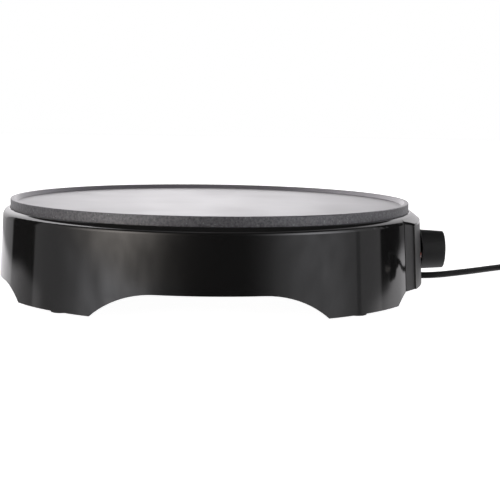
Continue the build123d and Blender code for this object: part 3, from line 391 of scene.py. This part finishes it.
def soft_black(name, color, roughness, ior=1.5):
    """Rubber or soft sleeve: dark, slightly uneven, with a thin bloom."""
    finish = Finish(name, color, roughness, ior=ior)
    grain = finish.group(grain_group, Grain_Size=0.35, Patch_Size=12.0)
    dust = finish.group(dust_group, Speck_Size=1.2, Speck_Share=0.06, Dust=0.04)
    finish.tint_by(finish.n.math("MULTIPLY", grain["Patches"], 0.35), color * 1.8)
    finish.tint_by(finish.n.math("MULTIPLY", dust["Dust"], 0.5), 0.2)
    finish.roughness_by(grain["Patches"], roughness - 0.06, roughness + 0.08)
    finish.bump(grain["Height"], 0.02 * MM)
    return finish.material


def lamp_lens():
    """Clear red lens of an indicator lamp that isn't lit."""
    finish = Finish("lamp lens", (0.3, 0.1, 0.075), 0.12, Transmission_Weight=0.5)
    grain = finish.group(grain_group, Grain_Size=1.0, Patch_Size=3.0)
    finish.bump(grain["Height"], 0.01 * MM)
    return finish.material


finishes = {
    "gloss_black": gloss_black(),
    "panel_black": gloss_black("panel black", 0.012, 0.36),
    "matt_black": matt_black(),
    "nonstick_plate": nonstick_plate(),
    "heater_steel": plain_metal("heater steel", (0.36, 0.34, 0.32), 0.45),
    "shield_metal": plain_metal("shield sheet", (0.75, 0.75, 0.74), 0.32),
    "fastener_steel": plain_metal("zinc plated steel", (0.62, 0.62, 0.6), 0.3),
    "copper_alloy": plain_metal("tinned brass", (0.74, 0.64, 0.42), 0.3),
    "copper_tube": plain_metal("drawn copper", (0.74, 0.42, 0.28), 0.28),
    "pin_metal": plain_metal("nickel plated pin", (0.4, 0.385, 0.36), 0.45),
    "ceramic": plain_moulding("spacer ceramic", (0.82, 0.79, 0.72), 0.55),
    "fuse_case": plain_moulding("fuse case", (0.72, 0.69, 0.62), 0.3),
    "terminal_plastic": plain_moulding("terminal moulding", (0.74, 0.72, 0.66), 0.45),
    "phenolic": plain_moulding("thermostat moulding", (0.07, 0.045, 0.03), 0.4),
    "lamp_glass": plain_moulding("lamp glass", (0.8, 0.76, 0.7), 0.15),
    "lamp_lens": lamp_lens(),
    "dial_paint": plain_moulding("dial paint", (0.7, 0.7, 0.68), 0.5, 0.3),
    "rubber": soft_black("foot rubber", 0.012, 0.6),
    "cord_black": soft_black("cord sleeve", 0.005, 0.5, 1.27),
    "wire_brown": plain_moulding("brown wire", (0.16, 0.07, 0.035), 0.45),
    "wire_blue": plain_moulding("blue wire", (0.04, 0.11, 0.35), 0.45),
    "wire_white": plain_moulding("glass fibre sleeve", (0.72, 0.69, 0.62), 0.8, 0.3),
}

record = frame["record"]
slot_of = {part["node"]: part["material_slot"] for part in record["subparts"]}
for node, obj in frame["nodes"].items():
    obj.data.materials.clear()
    finish = "panel_black" if node == "control_panel" else slot_of[node]
    obj.data.materials.append(finishes[finish])


# ---- Power cord ---------------------------------------------------------------------------

cord_radius = 2.6
floor_gap = 0.05            # under the cord where it lies on the table
coil_centre_x = 304.0
coil_centre_y = 105.0
outer_turn = 31.2           # radii of the coil's turns
inner_turn = 26.0
lower_layer = 2.65          # heights of their axes
upper_layer = 7.85
coil_start_angle = 116.0
coil_sweep = 3 * 360 + 127
coil_step = 20              # from one point to the next
inward_from = 300           # how far round the cord has gone where it moves to the inner turn,
rise_from = 600             # to the upper layer,
outward_from = 900          # and back to the outer turn
move_sweep = 60             # and over how much of a turn it does so


def ease(t):
    t = min(max(t, 0.0), 1.0)
    return t * t * (3 - 2 * t)


def coil_points():
    """Turns of the put-away length: outer low, inner low, inner high, outer high."""
    points = []
    for sweep in range(0, coil_sweep + 1, coil_step):
        inward = ease((sweep - inward_from) / move_sweep)
        rise = ease((sweep - rise_from) / move_sweep)
        outward = ease((sweep - outward_from) / move_sweep)
        radius = outer_turn + (inner_turn - outer_turn) * (inward - outward)
        height = lower_layer + (upper_layer - lower_layer) * rise
        angle = math.radians(coil_start_angle - sweep)
        x = coil_centre_x + radius * math.cos(angle)
        y = coil_centre_y + radius * math.sin(angle)
        points.append((x, y, height))
    return points


def cord_points():
    """Listed points of the cord, with the coil's turns between them."""
    floor = cord_radius + floor_gap
    free = [
        (118, 62.5, 8.4), (131, 62.5, 7.2), (144, 62.3, floor + 1.4), (159, 61.6, floor + 0.05),
        (175, 60.8, floor), (190, 65.2, floor), (206, 76.8, floor), (226, 92.0, floor),
        (246, 109.0, floor), (266, 124.5, floor),
    ]
    tail = [
        (335.4, 92.0, 5.6), (335.5, 83.0, 3.4), (334.8, 73.0, 4.2), (333.6, 64.0, 7.6),
        (332.4, 56.0, 11.2), (332.0, 49.5, 13.0), (331.8, 43.0, 13.0),
    ]
    return free + coil_points() + tail


def make_cord(plug):
    data = bpy.data.curves.new("power_lead", "CURVE")
    data.dimensions = "3D"
    data.bevel_depth = cord_radius * MM
    data.bevel_resolution = 5
    data.resolution_u = 8
    data.use_fill_caps = True
    points = cord_points()
    spline = data.splines.new("NURBS")
    spline.points.add(len(points) - 1)
    for point, place in zip(spline.points, points):
        point.co = (*at(*place), 1.0)
    spline.order_u = 3
    spline.use_endpoint_u = True
    cord = link(bpy.data.objects.new("power_lead", data))
    data.materials.append(finishes["cord_black"])
    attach(cord, "base")
    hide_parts("power_cord", "cord_coil", "cord_tail")


# ---- Detail pieces ------------------------------------------------------------------------

sharp_edge_angle = 38


def smooth_mesh(name, shape):
    """Mesh from a bmesh, its normals outwards, smooth but for its sharp edges."""
    bmesh.ops.recalc_face_normals(shape, faces=shape.faces)
    mesh = bpy.data.meshes.new(name)
    shape.to_mesh(mesh)
    shape.free()
    mesh.shade_smooth()
    mesh.set_sharp_from_angle(angle=math.radians(sharp_edge_angle))
    return mesh


def keep_piece(name, mesh, finish, body="base"):
    """Finished mesh as an object at the origin, on the body it rides on."""
    mesh.materials.clear()
    mesh.materials.append(finishes[finish])
    piece = link(bpy.data.objects.new(name, mesh))
    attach(piece, body)
    return piece


def join_rings(shape, rings, closed=False):
    """Faces between rings of points; the two ends are filled, or joined to each other."""
    pairs = list(zip(rings, rings[1:]))
    if closed:
        pairs.append((rings[-1], rings[0]))
    else:
        shape.faces.new(rings[0])
        shape.faces.new(rings[-1])
    for first, second in pairs:
        for k in range(len(first)):
            after = (k + 1) % len(first)
            shape.faces.new((first[k], first[after], second[after], second[k]))


def loop_point(angle, half_width, half_height, squareness):
    """Point of a rounded outline: squareness 2 is an ellipse, more is boxier."""
    c = math.cos(angle)
    s = math.sin(angle)
    across = half_width * math.copysign(abs(c) ** (2 / squareness), c)
    up = half_height * math.copysign(abs(s) ** (2 / squareness), s)
    return across, up


def make_rib_tree():
    """Rings in a row along +X that follow a taper, joined to the core they stand on."""
    tree = bpy.data.node_groups.new("sleeve ribs", "GeometryNodeTree")
    sockets = [
        ("Core", "Geometry"), ("Ribs", "Int"), ("Finish", "Material"), ("First Rib", "Float"),
        ("Spacing", "Float"), ("Root Radius", "Float"), ("Tip Share", "Float"), ("Rib Width", "Float"),
    ]
    for name, kind in sockets:
        tree.interface.new_socket(name, in_out="INPUT", socket_type="NodeSocket" + kind)
    tree.interface.new_socket("Sleeve", in_out="OUTPUT", socket_type="NodeSocketGeometry")
    n = Nodes(tree)
    entry = n.add("NodeGroupInput").outputs
    leave = n.add("NodeGroupOutput")
    start = n.add("ShaderNodeCombineXYZ")
    step = n.add("ShaderNodeCombineXYZ")
    n.join(entry["First Rib"], start.inputs["X"])
    n.join(entry["Spacing"], step.inputs["X"])
    row = n.add("GeometryNodeMeshLine", mode="OFFSET")
    n.join(entry["Ribs"], row.inputs["Count"])
    n.join(start.outputs[0], row.inputs["Start Location"])
    n.join(step.outputs[0], row.inputs["Offset"])
    ring = n.add("GeometryNodeCurvePrimitiveCircle")
    section = n.add("GeometryNodeCurvePrimitiveCircle")
    ring.inputs["Resolution"].default_value = 40
    section.inputs["Resolution"].default_value = 12
    n.join(entry["Root Radius"], ring.inputs["Radius"])
    n.join(n.math("MULTIPLY", entry["Rib Width"], 0.5), section.inputs["Radius"])
    rib = n.add("GeometryNodeCurveToMesh")
    n.join(ring.outputs["Curve"], rib.inputs["Curve"])
    n.join(section.outputs["Curve"], rib.inputs["Profile Curve"])
    upright = n.add("GeometryNodeTransform")
    n.join(rib.outputs[0], upright.inputs["Geometry"])
    upright.inputs["Rotation"].default_value = (0.0, math.radians(90), 0.0)
    index = n.add("GeometryNodeInputIndex").outputs[0]
    along = n.math("DIVIDE", index, n.math("SUBTRACT", entry["Ribs"], 1.0))
    taper = n.math("SUBTRACT", 1.0, entry["Tip Share"])
    share = n.math("SUBTRACT", 1.0, n.math("MULTIPLY", along, taper))
    placed = n.add("GeometryNodeInstanceOnPoints")
    n.join(row.outputs[0], placed.inputs["Points"])
    n.join(upright.outputs[0], placed.inputs["Instance"])
    n.join(share, placed.inputs["Scale"])
    real = n.add("GeometryNodeRealizeInstances")
    n.join(placed.outputs[0], real.inputs[0])
    both = n.add("GeometryNodeJoinGeometry")
    n.join(entry["Core"], both.inputs[0])
    n.join(real.outputs[0], both.inputs[0])
    coat = n.add("GeometryNodeSetMaterial")
    n.join(both.outputs[0], coat.inputs["Geometry"])
    n.join(entry["Finish"], coat.inputs["Material"])
    n.join(coat.outputs[0], leave.inputs[0])
    return tree


def grown(core, tree, values):
    """Plain mesh of a core once a Geometry Nodes tree has added to it."""
    holder = link(bpy.data.objects.new("holder", core))
    modifier = holder.modifiers.new("repeats", "NODES")
    modifier.node_group = tree
    inputs = {
        item.name: item.identifier for item in tree.interface.items_tree
        if item.item_type == "SOCKET" and item.in_out == "INPUT"
    }
    for name, value in values.items():
        modifier[inputs[name]] = value
    bpy.context.view_layer.update()
    finished = holder.evaluated_get(bpy.context.evaluated_depsgraph_get())
    mesh = bpy.data.meshes.new_from_object(finished)
    holder.modifiers.remove(modifier)
    bpy.data.objects.remove(holder)
    return mesh


sleeve_sides = 48


def make_cord_sleeve():
    """Strain relief: a flange and neck in the outlet, and a tapered tail with ribs."""
    # Distance from its inner end, and radius there.
    profile = [
        (0.0, 3.6), (0.0, 4.7), (0.3, 5.0), (1.5, 5.0), (1.7, 4.7), (1.7, 4.2), (8.9, 4.2),
        (11.4, 4.15), (12.0, 3.9), (12.3, 3.2), (30.2, 2.95), (30.5, 3.25), (31.6, 3.2), (32.0, 2.9),
        (32.0, 2.65),
    ]
    shape = bmesh.new()
    rings = []
    for along, radius in profile:
        ring = []
        for k in range(sleeve_sides):
            angle = 2 * math.pi * k / sleeve_sides
            across = radius * MM * math.cos(angle)
            up = radius * MM * math.sin(angle)
            ring.append(shape.verts.new((along * MM, across, up)))
        rings.append(ring)
    join_rings(shape, rings)
    core = smooth_mesh("sleeve_core", shape)
    mesh = grown(core, make_rib_tree(), {
        "Ribs": 7, "First Rib": 13.9 * MM, "Spacing": 2.5 * MM, "Root Radius": 3.3 * MM,
        "Tip Share": 0.83, "Rib Width": 1.5 * MM, "Finish": finishes["cord_black"],
    })
    middle = (relief_low + relief_high) / 2
    mesh.transform(Matrix.Translation((relief_low.x, middle.y, middle.z)))
    mesh.shade_smooth()
    sleeve = keep_piece("cord_sleeve", mesh, "cord_black")
    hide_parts("strain_relief")


plug_sides = 56
neck_rings = 4
grip_ribs = 5
# Outline of one ring and of one rib: distance from its start, and how far it stands out there.
ring_outline = ((0.0, 0.0), (1.7, 0.15), (1.9, -0.65), (3.1, -0.5))
rib_outline = ((0.0, 0.0), (0.5, 0.6), (1.5, 0.6), (2.0, 0.0))


def plug_sections():
    """Along the plug from the cord's end: distance, half width, half thickness, squareness."""
    sections = [(0.0, 3.0, 3.0, 2.0), (0.0, 3.4, 3.4, 2.0), (0.5, 3.8, 3.8, 2.0)]
    for k in range(neck_rings):
        start = 1.4 + 3.3 * k
        radius = 3.95 + 0.45 * k
        for step, out in ring_outline:
            sections.append((start + step, radius + out, radius + out, 2.0))
    sections += [
        (14.9, 5.5, 5.5, 2.0), (16.6, 7.4, 6.7, 2.1), (19.4, 10.8, 8.7, 2.3), (22.6, 13.4, 10.4, 2.5),
        (26.0, 14.8, 11.2, 2.6),
    ]
    for k in range(grip_ribs):
        start = 27.6 + 2.6 * k
        width = 15.0 + 0.1 * k
        height = 11.3 + 0.1 * k
        for step, out in rib_outline:
            sections.append((start + step, width + out, height + out, 2.6))
    return sections + [
        (41.6, 15.7, 11.9, 2.6), (44.0, 17.2, 12.6, 2.7), (46.0, 17.6, 12.9, 2.8), (52.4, 17.6, 12.9, 2.8),
        (53.5, 17.1, 12.4, 2.8), (54.0, 16.2, 11.5, 2.8), (54.0, 15.5, 10.8, 2.8), (53.4, 15.3, 10.6, 2.8),
        (53.4, 14.8, 10.1, 2.8), (54.0, 14.6, 9.9, 2.8),
    ]


def make_plug_moulding():
    """Moulded plug with a ribbed neck, a waisted grip and a rim round its face."""
    low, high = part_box("plug_body")
    middle = (low + high) / 2
    shape = bmesh.new()
    rings = []
    for along, half_width, half_height, squareness in plug_sections():
        ring = []
        for k in range(plug_sides):
            angle = 2 * math.pi * k / plug_sides
            across, up = loop_point(angle, half_width, half_height, squareness)
            place = (middle.x + across * MM, high.y - along * MM, middle.z + up * MM)
            ring.append(shape.verts.new(place))
        rings.append(ring)
    join_rings(shape, rings)
    plug = keep_piece("plug_moulding", smooth_mesh("plug_moulding", shape), "cord_black")
    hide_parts("plug_body")
    return plug


tie_angle = 205.0           # where the tie holds the coil
tie_width = 6.0
tie_thickness = 0.7
tie_half_across = 5.95      # of its outside
tie_half_up = 5.5
tie_squareness = 3.4
tie_floor_gap = 0.04
tie_step = 6                # degrees from one ring of points to the next
tie_end_from = 30           # the free end's two angles, and how far out it lies
tie_end_to = 139
tie_end_lift = 0.65


def make_coil_tie():
    """Soft strap round the coil's turns, with its free end laid over the top."""
    turn = math.radians(tie_angle)
    outward = Vector((math.cos(turn), math.sin(turn), 0.0))
    sideways = Vector((-math.sin(turn), math.cos(turn), 0.0))
    middle = Vector((coil_centre_x, coil_centre_y, 0.0)) + outward * (outer_turn + inner_turn) / 2
    middle.z = tie_half_up + tie_floor_gap
    shape = bmesh.new()

    def strap(angles, grow, closed):
        rings = []
        for angle in angles:
            ring = []
            for shift, side in ((0.0, 1), (0.0, -1), (tie_thickness, -1), (tie_thickness, 1)):
                half_across = tie_half_across + grow - shift
                half_up = tie_half_up + grow - shift
                across, up = loop_point(math.radians(angle), half_across, half_up, tie_squareness)
                place = middle + outward * across + sideways * side * tie_width / 2
                ring.append(shape.verts.new(at(place.x, place.y, place.z + up)))
            rings.append(ring)
        join_rings(shape, rings, closed)

    strap(range(0, 360, tie_step), 0.0, True)
    strap(range(tie_end_from, tie_end_to, tie_step), tie_end_lift, False)
    keep_piece("coil_tie", smooth_mesh("coil_tie", shape), "rubber")


# Dial: marks on the panel round the knob, and a line on the knob that shows how far it is turned.
knob_height = 32.1
foot_radius = 158.7         # of the drum's wall at the table
wall_draft = 3.5 / 59.6     # how much it draws in for each millimetre of height
panel_proud = 3.2           # panel's face, beyond that wall
mark_ring = 17.3            # from the knob's axis to the marks' inner ends
mark_count = 10
mark_step = 30              # degrees from one mark to the next
mark_half_width = 0.3       # of the first mark, and how much each one adds to it
mark_widening = 0.03
mark_length = 1.2           # of the first mark, and how much each one adds to it
mark_lengthening = 0.12
mark_proud = 0.1
mark_sunk = 0.2
line_half_width = 0.52
line_ends = (4.1, 12.8)     # from the knob's axis
line_depths = (0.58, 0.2)   # of its two faces, below the knob's outermost plane


def on_panel(across, up, proud):
    """Point on the curved panel, from distances to the knob's axis."""
    height = knob_height + up
    radius = foot_radius - wall_draft * height + panel_proud + proud
    angle = math.asin(across / radius)
    return at(radius * math.cos(angle), radius * math.sin(angle), height)


def slab(shape, corners_low, corners_high):
    """Closed slab between two loops of corners."""
    loops = [[shape.verts.new(place) for place in loop] for loop in (corners_low, corners_high)]
    join_rings(shape, loops)


def make_dial_marks():
    shape = bmesh.new()
    for k in range(mark_count):
        turn = math.radians(mark_step * k)
        out = Vector((math.sin(turn), math.cos(turn)))
        wide = Vector((out.y, -out.x)) * (mark_half_width + mark_widening * k)
        inner = out * mark_ring
        outer = out * (mark_ring + mark_length + mark_lengthening * k)
        loop = [inner - wide, inner + wide, outer + wide, outer - wide]
        low = [on_panel(corner.x, corner.y, -mark_sunk) for corner in loop]
        high = [on_panel(corner.x, corner.y, mark_proud) for corner in loop]
        slab(shape, low, high)
    keep_piece("dial_marks", smooth_mesh("dial_marks", shape), "dial_paint")


def make_knob_line():
    low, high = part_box("knob")
    middle = (low + high) / 2
    shape = bmesh.new()
    wide = line_half_width
    near, far = line_ends
    corners = [(-wide, near), (wide, near), (wide, far), (-wide, far)]
    loops = []
    for depth in line_depths:
        loops.append([(high.x - depth * MM, middle.y + y * MM, middle.z + z * MM) for y, z in corners])
    slab(shape, *loops)
    keep_piece("knob_line", smooth_mesh("knob_line", shape), "dial_paint", "knob")


make_cord(make_plug_moulding())
make_cord_sleeve()
make_coil_tie()
make_dial_marks()
make_knob_line()


# ---- Studio: floor ------------------------------------------------------------------------

floor_color = 0.62
floor_glow = 0.96           # light of its own, for the camera only
floor_corners = [(-3.0, -3.0), (3.0, -3.0), (3.0, 4.0), (-3.0, 4.0)]


def white_floor():
    """Pale floor that shows white and keeps a trace of the object's shadow."""
    material = bpy.data.materials.new("white floor")
    material.use_nodes = True
    n = Nodes(material.node_tree)
    n.tree.nodes.clear()
    diffuse = n.add("ShaderNodeBsdfDiffuse")
    diffuse.inputs["Color"].default_value = (floor_color, floor_color, floor_color, 1.0)
    shine = n.add("ShaderNodeEmission")
    shine.inputs["Color"].default_value = (1.0, 1.0, 1.0, 1.0)
    path = n.add("ShaderNodeLightPath")
    n.join(n.math("MULTIPLY", path.outputs["Is Camera Ray"], floor_glow), shine.inputs["Strength"])
    both = n.add("ShaderNodeAddShader")
    n.join(diffuse.outputs[0], both.inputs[0])
    n.join(shine.outputs[0], both.inputs[1])
    out = n.add("ShaderNodeOutputMaterial")
    n.join(both.outputs[0], out.inputs[0])
    return material


def make_floor():
    mesh = bpy.data.meshes.new("floor")
    shape = bmesh.new()
    shape.faces.new([shape.verts.new((x, y, 0.0)) for x, y in floor_corners])
    shape.to_mesh(mesh)
    shape.free()
    floor = link(bpy.data.objects.new("floor", mesh))
    mesh.materials.append(white_floor())
    floor.visible_glossy = False


# ---- Studio: what reflections see round the object ----------------------------------------

# All angles are in degrees. Azimuth 0 is the front, plus is the knob's side. "Round" is how far
# a direction is from the front, either way. A step is where something starts, where it is
# complete, and how much it adds.

room_level = 0.012          # the dark room's own light
room_tint = (1.0, 0.98, 1.0)

# Soft panels: middle, half width, strength, then the elevation where their brighter upper half
# starts and its strength.
soft_panels = {
    "left": (-50.0, 21.0, 1.95, 0.0, 2.6),
    "right": (58.0, 20.0, 0.65, 4.5, 3.0),
}
panel_top = (17.0, 27.0)    # elevations between which they end
upper_softness = 1.5
cool_light = (0.96, 0.96, 1.0, 1.0)
warm_light = (1.0, 0.93, 0.87, 1.0)     # of the left panel
warm_from = (-3.2, -1.2)                # elevations between which it takes over
cloud_width = 13.0          # size of the panels' uneven patches
cloud_height = 1.1
cloud_detail = 3.0
cloud_roughness = 0.55
cloud_contrast = (0.32, 0.68, 0.55, 1.45)

# Walls: from and to, softness of both edges, strength.
walls = {
    "left": (-107.0, -62.0, 2.0, 40.0, 0.38),
    "right": (32.0, 104.0, 30.0, 2.0, 0.46),
}
wall_top = (15.0, 30.0)     # elevations between which they end
wall_gap = (84.0, 87.0, 1.0, 1.0)       # between two boards of the right wall, with its edges
wall_gap_depth = 0.55

# A band of light hangs over the walls and comes down to the table behind the object. Its edges:
# elevation in front, drop, over how many degrees past the bend, power of the curve.
band_bend = 60.0
band_lower = (36.0, 30.0, 79.0, 2.2)
band_upper = (47.0, 16.0, 80.0, 2.0)
band_softness = 1.5
left_band = (0.67, 0.055)   # strength at the horizon, and its rise for each degree of elevation
left_band_start = (50.0, 88.0)
left_band_fade = (104.0, 135.0)         # where it falls to half of that
left_band_least = 0.2
right_band = (0.7, 0.033)
right_band_steps = ((30.0, 100.0, 0.37), (100.0, 116.0, 0.45))
right_band_least = 0.18

# The sweep straight behind is brighter: from where round, elevations with their softness.
sweep_start = (166.0, 180.0)
sweep_heights = (-6.0, 32.0, 4.0, 16.0)
sweep_level = 1.5

# The walls go on behind the object, under the band: from where round, and strength.
left_behind = (134.0, 0.4)
right_behind = (126.0, 0.22)
behind_softness = 1.5

# The table's two ends show under an edge that drops or rises towards the rear.
left_table_steps = ((96.0, 104.0, 0.42), (108.0, 150.0, 0.45))
left_table_edge = -5.0
left_table_drop = (116.0, 138.0, 0.7)
left_table_softness = 0.4
right_table_start = (84.0, 112.0)
right_table_level = 1.25
right_table_dimming = (130.0, 158.0, 0.7)
right_table_edge = -5.4
right_table_rise = (108.0, 128.0, 0.9)
right_table_softness = 0.35


class Surroundings(Nodes):
    """Nodes that work on the direction in which a reflection looks."""

    def __init__(self, tree):
        super().__init__(tree)
        direction = self.add("ShaderNodeTexCoord").outputs["Generated"]
        parts = self.add("ShaderNodeSeparateXYZ")
        self.join(direction, parts.inputs[0])
        to_front = self.math("MULTIPLY", parts.outputs["Y"], -1.0)
        turn = self.math("ARCTAN2", parts.outputs["X"], to_front)
        tilt = self.math("ARCSINE", parts.outputs["Z"])
        self.azimuth = self.math("MULTIPLY", turn, math.degrees(1.0))
        self.elevation = self.math("MULTIPLY", tilt, math.degrees(1.0))
        self.round = self.math("ABSOLUTE", self.azimuth)
        self.to_right = self.math("GREATER_THAN", self.azimuth, 0.0)
        self.to_left = self.less(self.to_right)

    def product(self, *factors):
        result = factors[0]
        for factor in factors[1:]:
            result = self.math("MULTIPLY", result, factor)
        return result

    def total(self, *terms):
        result = terms[0]
        for term in terms[1:]:
            result = self.math("ADD", result, term)
        return result

    def less(self, mask):
        return self.math("SUBTRACT", 1.0, mask)

    def edge(self, value, place, softness):
        """0 before a place and 1 past it, eased over the softness either side of it."""
        return self.smooth(value, place - softness, place + softness)

    def between(self, value, low, high, low_edge, high_edge):
        """1 between two values, with a soft edge at each."""
        rise = self.edge(value, low, low_edge / 2)
        fall = self.edge(value, high, high_edge / 2)
        return self.product(rise, self.less(fall))

    def step(self, start, complete, amount):
        """Nothing in front of the start, the whole amount behind the other azimuth."""
        return self.product(self.smooth(self.round, start, complete), amount)

    def above_line(self, start_height, drop, degrees, power):
        """1 above a line that is level in front and drops towards the rear."""
        past_bend = self.math("MAXIMUM", self.math("SUBTRACT", self.round, band_bend), 0.0)
        past = self.math("DIVIDE", past_bend, degrees)
        fallen = self.product(self.math("POWER", past, power), drop)
        height = self.math("SUBTRACT", start_height, fallen)
        return self.edge(self.math("SUBTRACT", self.elevation, height), 0.0, band_softness)


def band_light(n):
    """Light of the band, of the sweep and of what lies under the band behind the object."""
    over_lower = n.above_line(*band_lower)
    band = n.product(over_lower, n.less(n.above_line(*band_upper)))
    left_level = n.total(n.product(n.elevation, left_band[1]), left_band[0])
    right_level = n.total(n.product(n.elevation, right_band[1]), right_band[0])
    left_fade = n.total(n.less(n.smooth(n.round, *left_band_fade)), 1.0)
    left_share = n.product(n.smooth(n.round, *left_band_start), left_fade)
    right_share = n.total(*[n.step(*step) for step in right_band_steps])
    in_sweep = n.product(n.smooth(n.round, *sweep_start), n.between(n.elevation, *sweep_heights))
    levels = [
        n.product(band, n.to_left, left_level, n.total(left_share, left_band_least)),
        n.product(band, n.to_right, right_level, n.total(right_share, right_band_least)),
        n.product(in_sweep, sweep_level),
    ]
    for half, (start, strength) in ((n.to_left, left_behind), (n.to_right, right_behind)):
        behind = n.edge(n.round, start, behind_softness)
        levels.append(n.product(half, behind, n.less(over_lower), strength))
    return levels


def wall_light(n):
    """Light of the two walls, with a gap between the right one's boards."""
    under_top = n.less(n.smooth(n.elevation, *wall_top))
    levels = {}
    for name, (low, high, low_edge, high_edge, strength) in walls.items():
        lit = n.between(n.azimuth, low, high, low_edge, high_edge)
        levels[name] = n.product(lit, under_top, strength)
    gap = n.product(n.between(n.azimuth, *wall_gap), wall_gap_depth)
    levels["right"] = n.product(levels["right"], n.less(gap))
    return levels.values()


def table_light(n):
    """Light of the table's far ends, under the walls."""
    left_end = n.total(*[n.step(*step) for step in left_table_steps])
    left_edge = n.math("SUBTRACT", left_table_edge, n.step(*left_table_drop))
    left_under = n.edge(n.math("SUBTRACT", left_edge, n.elevation), 0.0, left_table_softness)
    rear_dimming = n.less(n.step(*right_table_dimming))
    right_end = n.product(n.smooth(n.round, *right_table_start), rear_dimming, right_table_level)
    right_edge = n.math("ADD", n.step(*right_table_rise), right_table_edge)
    right_under = n.edge(n.math("SUBTRACT", right_edge, n.elevation), 0.0, right_table_softness)
    return n.product(n.to_left, left_end, left_under), n.product(n.to_right, right_end, right_under)


def add_panels(n, light):
    """The light with that of the soft panels added, uneven as in old paint."""
    across = n.add("ShaderNodeCombineXYZ")
    n.join(n.math("DIVIDE", n.azimuth, cloud_width), across.inputs[0])
    n.join(n.math("DIVIDE", n.elevation, cloud_height), across.inputs[1])
    noise = n.noise(across.outputs[0], 1.0, cloud_detail, cloud_roughness)
    cloud = n.range(noise, *cloud_contrast)
    warmth = n.product(n.to_left, n.smooth(n.elevation, *warm_from))
    tint = n.mix_color(warmth, cool_light, warm_light)
    under_top = n.less(n.smooth(n.elevation, *panel_top))
    for centre, width, strength, upper_start, upper_strength in soft_panels.values():
        away = n.math("DIVIDE", n.math("SUBTRACT", n.azimuth, centre), width)
        fall = n.math("EXPONENT", n.product(away, away, -1.0))
        upper = n.edge(n.elevation, upper_start, upper_softness)
        height = n.total(n.product(upper, upper_strength), n.product(cloud, strength))
        panel = n.mix_color(1.0, tint, n.product(fall, under_top, height), "MULTIPLY")
        light = n.mix_color(1.0, light, panel, "ADD")
    return light


def make_world():
    """White for the camera, and the dark room with its lights for everything else."""
    world = bpy.data.worlds.new("studio")
    bpy.context.scene.world = world
    world.use_nodes = True
    world.node_tree.nodes.clear()
    n = Surroundings(world.node_tree)
    plain = n.total(*band_light(n), *wall_light(n), *table_light(n), room_level)
    room = n.add("ShaderNodeCombineColor")
    for channel, share in zip(room.inputs, room_tint):
        n.join(n.product(plain, share), channel)
    seen = add_panels(n, room.outputs[0])
    path = n.add("ShaderNodeLightPath")
    shown = n.mix_color(path.outputs["Is Camera Ray"], seen, (1.0, 1.0, 1.0, 1.0))
    back = n.add("ShaderNodeBackground")
    n.join(shown, back.inputs["Color"])
    out = n.add("ShaderNodeOutputWorld")
    n.join(back.outputs[0], out.inputs[0])


def make_lamp(name, place, target, size, power):
    """Soft rectangular lamp that looks at a point."""
    data = bpy.data.lights.new(name, "AREA")
    data.shape = "RECTANGLE"
    data.size, data.size_y = size
    data.energy = power
    lamp = link(bpy.data.objects.new(name, data))
    lamp.location = place
    lamp.rotation_mode = "QUATERNION"
    lamp.rotation_quaternion = (Vector(target) - Vector(place)).to_track_quat("-Z", "Y")
    lamp.visible_camera = False
    lamp.visible_glossy = False


make_floor()
make_world()
lamp_target = (0, 0, 0.03)
make_lamp("front lamp", (-0.5, -1.0, 1.1), lamp_target, (1.1, 0.6), 2.5)
make_lamp("right lamp", (1.0, -0.6, 1.0), lamp_target, (0.8, 0.6), 1.5)

bpy.context.scene.view_settings.view_transform = "Standard"
